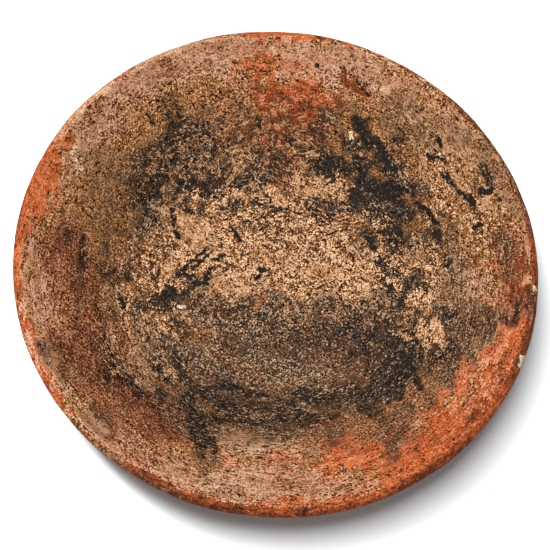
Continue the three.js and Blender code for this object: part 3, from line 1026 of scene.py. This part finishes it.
def stain_amounts(places, stains, base):
    """How much of each kind of stain lies at each place, from 0 to 1. Broad strokes fray the most."""
    amounts = {}
    broad, close = wander(places, BROAD_FRAY), wander(places, CLOSE_FRAY)
    for what, level in base.items():
        amount = np.full(len(places), level)
        for stroke in (Stroke(*row) for row in stains.get(what, ())):
            frayed = places + broad * fray_width(BROAD_FRAY, stroke) + close * fray_width(CLOSE_FRAY, stroke)
            reach = STROKE_REACH - distance_to_path(frayed, stroke.path) / stroke.half_width
            nearness = np.clip(reach, 0.0, 1.0)
            weight = stroke.strength * nearness * nearness * (3 - 2 * nearness)
            amount = amount + weight * (1 - amount if stroke.strength > 0 else amount)
        amounts[what] = amount
    return amounts


def read_attribute(mesh, name, width=1):
    values = np.empty(len(mesh.vertices) * width, np.float32)
    mesh.attributes[name].data.foreach_get("value" if width == 1 else "vector", values)
    return values if width == 1 else values.reshape(-1, width)


def write_attribute(mesh, name, values):
    mesh.attributes.new(name, "FLOAT", "POINT").data.foreach_set("value", values.astype(np.float32))


def stain_clay(mesh, section, surface, stage):
    """Writes each kind of stain on the mesh's points, and raises the crust."""
    points = np.empty(len(mesh.vertices) * 3, np.float32)
    mesh.vertices.foreach_get("co", points)
    points = points.reshape(-1, 3).astype(float)
    inside = read_attribute(mesh, "inside")
    along = read_attribute(mesh, "along")
    pixels = photo_pixels(points, stage)
    seen = stain_amounts(pixels, INSIDE_STAINS, INSIDE_BASE)
    edge = stain_amounts(pixels, LIP_STAINS, LIP_BASE)
    hidden = stain_amounts(points[:, :2] / MM, OUTSIDE_STAINS, OUTSIDE_BASE)
    lip = np.clip(LIP_INNER_FADE * (1 - inside), 0.0, 1.0) * np.clip(LIP_OUTER_FADE * inside, 0.0, 1.0)
    amounts = {}
    for what in seen:
        skin = seen[what] * inside + hidden[what] * (1 - inside)
        amounts[what] = skin + (edge[what] - skin) * lip
    for what, amount in amounts.items():
        write_attribute(mesh, what, amount)
    wall = np.clip((along - section.foot) / (section.knuckle_end - section.foot), 0.0, 1.0)
    standing = (1 - inside) * (1 - wall)
    lift = surface.crust_height * amounts["crust"] * (1 - standing)
    points += read_attribute(mesh, "clay_normal", 3) * lift[:, None]
    mesh.vertices.foreach_set("co", points.astype(np.float32).ravel())
    for name in ("clay_normal", "joint_face", "along"):
        mesh.attributes.remove(mesh.attributes[name])
    mesh.set_sharp_from_angle(angle=SHARP_EDGE)
    mesh.update()


# Shader groups

def ring_vector_tree():
    """Coordinates that run slowly round the bowl and quickly across it, to draw a pattern out in rings."""
    tree, s, given, result = new_tree("ring_vector", "ShaderNodeTree",
                                      [("Vector", "NodeSocketVector"), ("Draw", "NodeSocketFloat")],
                                      [("Vector", "NodeSocketVector")])
    flat = s.vector("MULTIPLY", given["Vector"], (1.0, 1.0, 0.0))
    radius = s.node("ShaderNodeVectorMath", {0: flat}, operation="LENGTH").outputs["Value"]
    height = s.node("ShaderNodeSeparateXYZ", {0: given["Vector"]}).outputs["Z"]
    across = s.math("MULTIPLY_ADD", height, 0.6, radius)
    around = s.scaled(s.vector("NORMALIZE", flat), given["Draw"])
    s.feed(result.inputs["Vector"], s.vector("ADD", around, s.upright(across)))
    return tree


def fine_grain_tree(ring_vector):
    """Grain about 1 mm wide, centred on 0: specks, clods and gaps, or streaks in rings; and loose fibres."""
    tree, s, given, result = new_tree("fine_grain", "ShaderNodeTree",
                                      [("Vector", "NodeSocketVector"), ("Wipe", "NodeSocketFloat"),
                                       ("Straw", "NodeSocketFloat")],
                                      [("Grain", "NodeSocketFloat"), ("Specks", "NodeSocketFloat"),
                                       ("Fibres", "NodeSocketFloat")])
    place = given["Vector"]

    def centred(value, gain):
        return s.math("MULTIPLY", s.math("SUBTRACT", value, 0.5), gain)

    def bent(scale, reach):
        bend = s.node("ShaderNodeTexNoise", {"Vector": place, "Scale": scale, "Detail": 1.0})
        sideways = s.vector("SUBTRACT", bend.outputs["Color"], (0.5, 0.5, 0.5))
        return s.vector("ADD", place, s.scaled(sideways, reach))

    def strokes(offset, patches, scale, draw):
        """Noise drawn out in one direction, which turns from patch to patch."""
        moved = s.vector("ADD", place, offset)
        patch = s.node("ShaderNodeTexVoronoi", {"Vector": moved, "Scale": patches}).outputs["Color"]
        heading = s.math("MULTIPLY", s.node("ShaderNodeSeparateColor", {0: patch}).outputs[0], tau)
        turned = s.node("ShaderNodeVectorRotate", {"Vector": moved, "Angle": heading},
                        rotation_type="Z_AXIS").outputs[0]
        return s.noise(s.vector("MULTIPLY", turned, (draw, 1.0, 1.0)), scale, detail=1.0, roughness=0.6)

    def threads(offset):
        """Thin lines up to 12 mm long, in more places where there is more straw."""
        lines = strokes(offset, patches=80.0, scale=260.0, draw=0.1)
        crest = s.math("ABSOLUTE", s.math("SUBTRACT", lines, 0.5))
        patches = s.noise(s.vector("ADD", place, offset), scale=150.0, detail=2.0)
        tangled = s.ramp(s.math("MULTIPLY_ADD", given["Straw"], 0.3, patches), low=0.72, high=0.78)
        return s.math("MULTIPLY", s.ramp(crest, low=0.012, high=0.036, start=1.0, end=0.0), tangled)

    specks = centred(s.noise(bent(700.0, 2 * MM), scale=1100.0, detail=1.0, roughness=0.6), gain=7.0)
    s.feed(result.inputs["Specks"], specks)
    clods = centred(s.noise(bent(250.0, 5 * MM), scale=380.0, detail=3.0, roughness=0.7), gain=5.0)
    cracks = strokes((0.4, 2.6, 0.9), patches=150.0, scale=750.0, draw=0.25)
    gaps = s.math("MULTIPLY", s.ramp(cracks, low=0.55, high=0.66), -1.6)
    crossed = s.math("MAXIMUM", threads((0.0, 0.0, 0.0)), threads((1.7, 0.3, 0.8)))
    s.feed(result.inputs["Fibres"], s.math("MAXIMUM", crossed, threads((0.6, 1.4, 2.2))))
    loose = s.math("ADD", s.math("MULTIPLY_ADD", specks, 0.5, clods), gaps)
    rings = s.group(ring_vector, {"Vector": place, "Draw": 30 * MM})["Vector"]
    lines = centred(s.noise(rings, scale=900.0, detail=2.0, roughness=0.7), gain=7.0)
    streaks = s.math("ADD", lines, s.math("MULTIPLY", specks, 0.5))
    drawn = s.math("MULTIPLY", streaks, s.math("SQRT", given["Wipe"]))
    unwiped = s.math("SQRT", s.math("SUBTRACT", 1.0, given["Wipe"]))
    s.feed(result.inputs["Grain"], s.math("MULTIPLY_ADD", loose, unwiped, drawn))
    return tree


def blotch_tree(ring_vector):
    """Ragged blotches of many sizes, centred on 0, drawn out in rings where the clay was wiped."""
    tree, s, given, result = new_tree("blotches", "ShaderNodeTree",
                                      [("Vector", "NodeSocketVector"), ("Offset", "NodeSocketVector"),
                                       ("Wipe", "NodeSocketFloat"), ("Scale", "NodeSocketFloat")],
                                      [("Blotch", "NodeSocketFloat")])
    rings = s.group(ring_vector, {"Vector": given["Vector"], "Draw": 25 * MM})["Vector"]

    def uneven(vector):
        moved = s.vector("ADD", vector, given["Offset"])
        return s.math("SUBTRACT", s.noise(moved, given["Scale"], detail=4.0, roughness=0.65), 0.5)

    unwiped = s.math("SQRT", s.math("SUBTRACT", 1.0, given["Wipe"]))
    loose = s.math("MULTIPLY", uneven(given["Vector"]), unwiped)
    drawn = s.math("MULTIPLY", uneven(rings), s.math("SQRT", given["Wipe"]))
    s.feed(result.inputs["Blotch"], s.math("ADD", loose, drawn))
    return tree


# How strongly the amount of a stain, its blotches and its grain decide where it lies,
# and the amount under which it fades out
AMOUNT_GAIN = 4.0
BLOTCH_GAIN = 8.0
GRAIN_GAIN = 2.0
FAINT_AMOUNT = 0.15


def cover_tree():
    """Whether something covers the clay at a point: its amount, broken up by blotches and grain."""
    tree, s, given, result = new_tree("cover", "ShaderNodeTree",
                                      [("Amount", "NodeSocketFloat"), ("Blotch", "NodeSocketFloat"),
                                       ("Grain", "NodeSocketFloat"), ("Edge", "NodeSocketFloat")],
                                      [("Mask", "NodeSocketFloat")])
    level = s.math("MULTIPLY", s.math("SUBTRACT", given["Amount"], 0.5), AMOUNT_GAIN)
    level = s.math("MULTIPLY_ADD", given["Blotch"], BLOTCH_GAIN, level)
    level = s.math("MULTIPLY_ADD", given["Grain"], GRAIN_GAIN, level)
    broken = s.ramp(level, s.math("MULTIPLY", given["Edge"], -1.0), given["Edge"])
    present = s.ramp(given["Amount"], 0.0, FAINT_AMOUNT)
    s.feed(result.inputs["Mask"], s.math("MULTIPLY", broken, present))
    return tree


EMPTY_CELLS = 0.67  # share of cells without a dot


def dots_tree():
    """Scattered round dots, about one in every third cell."""
    tree, s, given, result = new_tree("dots", "ShaderNodeTree",
                                      [("Vector", "NodeSocketVector"), ("Scale", "NodeSocketFloat"),
                                       ("Width", "NodeSocketFloat")],
                                      [("Mask", "NodeSocketFloat")])
    cells = s.node("ShaderNodeTexVoronoi", {"Vector": given["Vector"], "Scale": given["Scale"]})
    draw = s.node("ShaderNodeSeparateColor", {0: cells.outputs["Color"]}).outputs[0]
    chosen = s.math("GREATER_THAN", draw, EMPTY_CELLS)
    core = s.math("MULTIPLY", given["Width"], 0.5)
    near = s.ramp(cells.outputs["Distance"], core, given["Width"], start=1.0, end=0.0)
    s.feed(result.inputs["Mask"], s.math("MULTIPLY", near, chosen))
    return tree


# Materials

def new_material(name):
    material = bpy.data.materials.new(name)
    material.use_nodes = True
    sketch = Sketch(material.node_tree)
    shader = material.node_tree.nodes["Principled BSDF"]
    return material, sketch, shader


def worn_clay_material(colours, trees):
    """Orange slip under a brown film and broken tan crust, veiled and blackened by smoke, and darkened by
    painted shade where the haze and rust are laid as shade.
    """
    material, s, shader = new_material("worn_clay")
    place = s.node("ShaderNodeTexCoord").outputs["Object"]

    def amount(name):
        return s.node("ShaderNodeAttribute", attribute_name=name).outputs["Fac"]

    wipe = amount("wipe")
    rust_and_shade = amount("rust_and_shade")
    fine = s.group(trees["grain"], {"Vector": place, "Wipe": wipe, "Straw": amount("fibre")})
    grain = fine["Grain"]

    def blotches(offset, scale, drawn=wipe):
        made = s.group(trees["blotches"], {"Vector": place, "Offset": offset, "Wipe": drawn, "Scale": scale})
        return made["Blotch"]

    def cover(name, blotch, edge, fray=1.0, crumble=1.0):
        """Where something lies. Blotches fray its edge, and single grains crumble it."""
        return s.group(trees["cover"], {"Amount": amount(name), "Blotch": s.math("MULTIPLY", blotch, fray),
                                        "Grain": s.math("MULTIPLY", grain, crumble), "Edge": edge})["Mask"]

    crust_blotch = blotches((0.0, 0.0, 0.0), scale=125.0)
    slip_blotch = blotches((1.3, 0.4, 2.1), scale=170.0)
    soot_blotch = blotches((2.6, 1.9, 0.7), scale=120.0)
    flake_blotch = blotches((0.8, 3.1, 1.2), scale=420.0, drawn=0.0)
    slip_cover = cover("slip", slip_blotch, edge=0.5, fray=1.4, crumble=0.6)
    rust_and_shade_cover = cover("rust_and_shade", slip_blotch, edge=1.6, fray=0.7, crumble=0.5)
    soot_cover = cover("soot", soot_blotch, edge=0.9, fray=1.2, crumble=0.4)
    plate_cover = cover("plate", crust_blotch, edge=0.5, fray=0.9, crumble=0.25)
    rough_cover = cover("crust", crust_blotch, edge=0.4, fray=1.35, crumble=0.5)
    crust_cover = s.math("MAXIMUM", rough_cover, plate_cover)
    wash_cover = cover("wash", slip_blotch, edge=0.45, fray=1.1, crumble=0.7)
    haze_and_shade_cover = cover("haze_and_shade", soot_blotch, edge=1.6)
    flake_cover = cover("flake", flake_blotch, edge=0.3, fray=2.2, crumble=0.3)
    chip_cover = cover("chip", flake_blotch, edge=0.4, fray=1.6, crumble=0.3)
    dim = s.math("MULTIPLY", haze_and_shade_cover, -HAZE_AND_SHADE_DIMS)

    def tone(level, lift, blotch, contrast):
        """Lightness in a palette: a level, moved by blotches, grain and the veil of smoke and painted shade.
        """
        moved = s.math("ADD", s.math("MULTIPLY_ADD", blotch, lift, level), dim)
        return s.math("MULTIPLY_ADD", grain, contrast, moved)

    film_tone = tone(level=0.62, lift=1.1, blotch=soot_blotch, contrast=0.24)
    film_tone = s.math("MULTIPLY_ADD", fine["Specks"], 0.14, film_tone)
    film = s.palette(film_tone, colours.pit, colours.dark_film, colours.film, colours.light_film,
                     colours.pale_film)
    red_film = s.palette(film_tone, colours.pit, colours.dark_slip, colours.red_film, colours.pale_red,
                         colours.pale_film)
    # more rust gives deeper, darker slip; on the lip and the lower right band this darkening is painted shade
    slip_level = s.math("MULTIPLY_ADD", rust_and_shade, -0.5, 0.72)
    slip_tone = tone(slip_level, lift=1.4, blotch=slip_blotch, contrast=0.2)
    slip = s.palette(slip_tone, colours.dark_slip, colours.deep_slip, colours.slip, colours.pale_slip)
    wash_tone = tone(level=0.72, lift=1.3, blotch=crust_blotch, contrast=0.25)
    wash = s.palette(wash_tone, colours.dark_slip, colours.dark_wash, colours.wash, colours.pale_wash)

    def smoke_and_shade_colour(level, contrast):
        """Smoke on the clay, and the painted shade laid with the haze, which is grey on crust and browner on
        red clay.
        """
        shade = tone(level, lift=0.2, blotch=crust_cover, contrast=contrast)
        grey = s.palette(shade, colours.soot_black, colours.soot, colours.ash, colours.pale_ash)
        brown = s.palette(shade, colours.pit, colours.dark_slip, colours.red_film, colours.pale_red)
        return s.mix(s.math("MULTIPLY", rust_and_shade_cover, 0.6), grey, brown)

    smoke = smoke_and_shade_colour(level=0.13, contrast=0.44)
    # the veil's colour serves thin smoke and the painted shade laid with the haze
    veil = smoke_and_shade_colour(level=0.55, contrast=0.7)

    # Plates are smoother than the rest of the crust
    plate_level = s.math("MULTIPLY", plate_cover, 0.74)
    crust_level = s.math("MAXIMUM", s.between(0.42, 0.78, amount("crust")), plate_level)
    crust_lift = s.between(1.5, 0.9, plate_cover)
    crust_contrast = s.between(0.52, 0.3, plate_cover)
    crust_tone = tone(crust_level, crust_lift, slip_blotch, crust_contrast)
    crust = s.palette(crust_tone, colours.pit, colours.dark_film, colours.film, colours.crust,
                      colours.pale_crust)

    # Layers, from the clay's own film up to loose chips, pits and flecks
    surface = s.mix(rust_and_shade_cover, film, red_film)
    surface = s.mix(slip_cover, surface, slip)
    surface = s.mix(s.math("MULTIPLY", soot_cover, SOOT_HIDES), surface, smoke)
    surface = s.mix(crust_cover, surface, crust)
    surface = s.mix(s.math("MULTIPLY", wash_cover, WASH_HIDES), surface, wash)
    bare_soot = s.math("MULTIPLY", soot_cover, s.math("SUBTRACT", 1.0, crust_cover))
    # the haze lays thin smoke, and painted shade where its strokes are named for shade
    veiled = s.math("MULTIPLY", haze_and_shade_cover, s.between(0.75, 0.25, bare_soot))
    surface = s.mix(veiled, surface, veil)
    surface = s.mix(s.math("MULTIPLY", fine["Fibres"], FIBRE_HIDES), surface, with_alpha(colours.straw))
    char_tone = s.math("MULTIPLY_ADD", grain, 0.3, 0.45)
    char = s.palette(char_tone, colours.soot_black, colours.flake, colours.soot)
    surface = s.mix(flake_cover, surface, char)
    surface = s.mix(chip_cover, surface, with_alpha(colours.chip))
    pits = s.group(trees["dots"], {"Vector": place, "Scale": 110.0, "Width": 0.09})["Mask"]
    pitted = s.math("MULTIPLY", pits, s.between(0.8, 0.2, slip_cover))
    surface = s.mix(pitted, surface, with_alpha(colours.pit))
    elsewhere = s.vector("ADD", place, (0.7, 0.2, 1.9))
    flecks = s.group(trees["dots"], {"Vector": elsewhere, "Scale": 60.0, "Width": 0.045})["Mask"]
    surface = s.mix(s.math("MULTIPLY", flecks, FLECK_HIDES), surface, with_alpha(colours.pale_crust))
    smooth = s.math("MAXIMUM", plate_cover, s.math("MAXIMUM", slip_cover, wash_cover))
    speckle = s.math("MULTIPLY", fine["Specks"], s.between(0.55, 0.24, smooth))
    speckled = s.node("ShaderNodeHueSaturation", {"Color": surface, "Value": s.math("ADD", speckle, 1.0)})
    s.feed(shader.inputs["Base Color"], speckled.outputs["Color"])

    s.feed(shader.inputs["Roughness"], s.between(0.65, 0.92, crust_cover))
    sunk = s.math("ADD", s.math("MULTIPLY", pits, 0.8), s.math("MULTIPLY", flake_cover, 0.8))
    grain_height = s.between(0.8, 0.4, plate_cover)
    height = s.math("SUBTRACT", s.math("MULTIPLY_ADD", grain, grain_height, crust_cover), sunk)
    bump = s.node("ShaderNodeBump", {"Height": height, "Strength": 0.35, "Distance": 0.3 * MM})
    s.feed(shader.inputs["Normal"], bump.outputs["Normal"])
    shader.inputs["Specular IOR Level"].default_value = 0.12
    return material


def joint_clay_material(colours, trees):
    """Raw fired clay on the bevels that the courses share."""
    material, s, shader = new_material("joint_clay")
    place = s.node("ShaderNodeTexCoord").outputs["Object"]
    grain = s.group(trees["grain"], {"Vector": place, "Wipe": 0.5})
    tone = s.math("MULTIPLY_ADD", grain["Grain"], 0.5, 0.5)
    s.feed(shader.inputs["Base Color"], s.palette(tone, colours.dark_slip, colours.deep_slip, colours.clay))
    bump = s.node("ShaderNodeBump", {"Height": grain["Grain"], "Strength": 0.5, "Distance": 0.3 * MM})
    s.feed(shader.inputs["Normal"], bump.outputs["Normal"])
    shader.inputs["Roughness"].default_value = 0.9
    return material


def clay_kit(context):
    """The tree and materials that every course shares, made once."""
    scene = context.scene
    if "clay_course" not in bpy.data.node_groups:
        clay_course_tree()
        ring_vector = ring_vector_tree()
        trees = {"grain": fine_grain_tree(ring_vector), "blotches": blotch_tree(ring_vector),
                 "cover": cover_tree(), "dots": dots_tree()}
        worn_clay_material(scene.bowl_colours, trees)
        joint_clay_material(scene.bowl_colours, trees)
    materials = bpy.data.materials
    return bpy.data.node_groups["clay_course"], materials["worn_clay"], materials["joint_clay"]


def build_course(context, node, course):
    """Makes one course as a plain mesh in place of its solid."""
    scene = context.scene
    section = Section(scene.bowl_sizes)
    tree, skin, joint = clay_kit(context)
    piece = bpy.data.objects.new(node + "_clay", bpy.data.meshes.new(node + "_blank"))
    scene.collection.objects.link(piece)
    modifier = piece.modifiers.new("clay_course", "NODES")
    modifier.node_group = tree
    values = course_values(section, scene.bowl_sizes, scene.bowl_surface, course)
    values.update({"Skin": skin, "Joint": joint})
    for socket in tree.interface.items_tree:
        if socket.in_out == "INPUT":
            modifier[socket.identifier] = values[socket.name]
    graph = context.evaluated_depsgraph_get()
    mesh = bpy.data.meshes.new_from_object(piece.evaluated_get(graph), preserve_all_data_layers=True,
                                           depsgraph=graph)
    piece.modifiers.remove(modifier)
    blank = piece.data
    piece.data = mesh
    mesh.name = node + "_clay"
    bpy.data.meshes.remove(blank)
    stain_clay(mesh, section, scene.bowl_surface, scene.bowl_stage)
    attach(piece, "root")
    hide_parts(node)


# Operators

class BOWL_OT_base_pat(bpy.types.Operator):
    """Make the pat of clay under the floor"""

    bl_idname = "bowl.base_pat"
    bl_label = "Base Pat"

    def execute(self, context):
        section = Section(context.scene.bowl_sizes)
        build_course(context, "base_pat", pat_course(section, context.scene.bowl_surface))
        return {"FINISHED"}


class BOWL_OT_wall_coils(bpy.types.Operator):
    """Make the coils between the pat and the rim"""

    bl_idname = "bowl.wall_coils"
    bl_label = "Wall Coils"

    def execute(self, context):
        section = Section(context.scene.bowl_sizes)
        for number in range(1, WALL_COILS + 1):
            course = coil_course(section, context.scene.bowl_surface, number)
            build_course(context, f"wall_coil_{number}", course)
        return {"FINISHED"}


class BOWL_OT_rim_coil(bpy.types.Operator):
    """Make the last coil with its rounded lip"""

    bl_idname = "bowl.rim_coil"
    bl_label = "Rim Coil"

    def execute(self, context):
        section = Section(context.scene.bowl_sizes)
        build_course(context, "rim_coil", rim_course(section, context.scene.bowl_surface))
        return {"FINISHED"}


class BOWL_OT_stage(bpy.types.Operator):
    """Make the white floor, the light and the camera"""

    bl_idname = "bowl.stage"
    bl_label = "Stage"

    def execute(self, context):
        scene = context.scene
        stage = scene.bowl_stage
        make_floor(scene)
        make_light(scene, stage)
        make_camera(scene, stage)
        scene.view_settings.view_transform = "Standard"
        return {"FINISHED"}


FLOOR_SPAN = 3.0  # metres
BOUNCE_GREY = (0.6, 0.6, 0.6)  # what the floor sends back up
SEEN_WHITE = (1.62, 1.67, 1.69)  # what the camera sees of it


def make_floor(scene):
    """A white floor that shows white to the camera and sends less light back up."""
    half = FLOOR_SPAN / 2
    mesh = bpy.data.meshes.new("floor")
    corners = [(-half, -half, 0), (half, -half, 0), (half, half, 0), (-half, half, 0)]
    mesh.from_pydata(corners, [], [(0, 1, 2, 3)])
    floor = bpy.data.objects.new("floor", mesh)
    scene.collection.objects.link(floor)
    material, s, shader = new_material("white_floor")
    path = s.node("ShaderNodeLightPath").outputs
    mirrored = s.math("MAXIMUM", path["Is Glossy Ray"], path["Is Transmission Ray"])
    seen = s.math("MAXIMUM", path["Is Camera Ray"], mirrored)
    s.feed(shader.inputs["Base Color"], s.mix(seen, with_alpha(BOUNCE_GREY), with_alpha(SEEN_WHITE)))
    shader.inputs["Roughness"].default_value = 1.0
    shader.inputs["Specular IOR Level"].default_value = 0.0
    mesh.materials.append(material)


def make_light(scene, stage):
    """A long soft box over the bowl's left side, and an even sky."""
    _, right, _ = camera_axes(stage)
    ahead = Vector((-right.y, right.x, 0.0))
    heading = ahead * cos(stage.box_side) - right * sin(stage.box_side)
    towards = heading * cos(stage.box_elevation) + Vector((0.0, 0.0, sin(stage.box_elevation)))
    long_way = right * cos(stage.box_turn) - ahead * sin(stage.box_turn)
    short_way = towards.cross(long_way).normalized()
    # The ends of a long box are further off than its middle and light the floor less
    spread = 1 + (stage.box_length ** 2 + stage.box_width ** 2) / (12 * stage.box_distance ** 2)
    lamp = bpy.data.lights.new("soft_box", "AREA")
    lamp.shape = "RECTANGLE"
    lamp.size = stage.box_length
    lamp.size_y = stage.box_width
    lamp.energy = (stage.level * stage.box_share * (pi * stage.box_distance * spread) ** 2
                   / sin(stage.box_elevation))
    box = bpy.data.objects.new("soft_box", lamp)
    box.location = towards * stage.box_distance
    box.rotation_mode = "QUATERNION"
    axes = Matrix((short_way.cross(towards), short_way, towards)).transposed()
    box.rotation_quaternion = axes.to_quaternion()
    scene.collection.objects.link(box)
    world = bpy.data.worlds.new("sky")
    world.use_nodes = True
    sky = world.node_tree.nodes["Background"]
    sky.inputs["Color"].default_value = (1.0, 1.0, 1.0, 1.0)
    s = Sketch(world.node_tree)
    path = s.node("ShaderNodeLightPath").outputs
    sky_level = stage.level * (1 - stage.box_share)
    s.feed(sky.inputs["Strength"], s.between(sky_level, 1.0, path["Is Camera Ray"]))
    scene.world = world


def make_camera(scene, stage):
    back, _, _ = camera_axes(stage)
    lens = bpy.data.cameras.new("camera")
    lens.lens = stage.lens
    lens.sensor_width = SENSOR_WIDTH
    camera = bpy.data.objects.new("camera", lens)
    camera.location = camera_place(stage)
    camera.rotation_mode = "QUATERNION"
    camera.rotation_quaternion = back.to_track_quat("Z", "Y")
    scene.collection.objects.link(camera)
    scene.camera = camera


class BOWL_PT_sidebar(bpy.types.Panel):
    """Everything that builds the bowl"""

    bl_idname = "BOWL_PT_sidebar"
    bl_label = "Terracotta Bowl"
    bl_space_type = "VIEW_3D"
    bl_region_type = "UI"
    bl_category = "Bowl"

    def draw(self, context):
        for settings in SETTINGS:
            group = getattr(context.scene, settings)
            box = self.layout.box()
            for name in group.__annotations__:
                box.prop(group, name)
        for operator in OPERATORS:
            self.layout.operator(operator.bl_idname)


OPERATORS = (BOWL_OT_base_pat, BOWL_OT_wall_coils, BOWL_OT_rim_coil, BOWL_OT_stage)
SETTINGS = {
    "bowl_sizes": BowlSizes,
    "bowl_surface": BowlSurface,
    "bowl_colours": BowlColours,
    "bowl_stage": BowlStage,
}


def register():
    for group in SETTINGS.values():
        bpy.utils.register_class(group)
    for operator in OPERATORS:
        bpy.utils.register_class(operator)
    bpy.utils.register_class(BOWL_PT_sidebar)
    for name, group in SETTINGS.items():
        setattr(bpy.types.Scene, name, PointerProperty(type=group))


def unregister():
    for name in SETTINGS:
        delattr(bpy.types.Scene, name)
    bpy.utils.unregister_class(BOWL_PT_sidebar)
    for operator in reversed(OPERATORS):
        bpy.utils.unregister_class(operator)
    for group in reversed(SETTINGS.values()):
        bpy.utils.unregister_class(group)


def main():
    register()
    bpy.ops.bowl.base_pat()
    bpy.ops.bowl.wall_coils()
    bpy.ops.bowl.rim_coil()
    bpy.ops.bowl.stage()


if __name__ == "__main__":
    main()
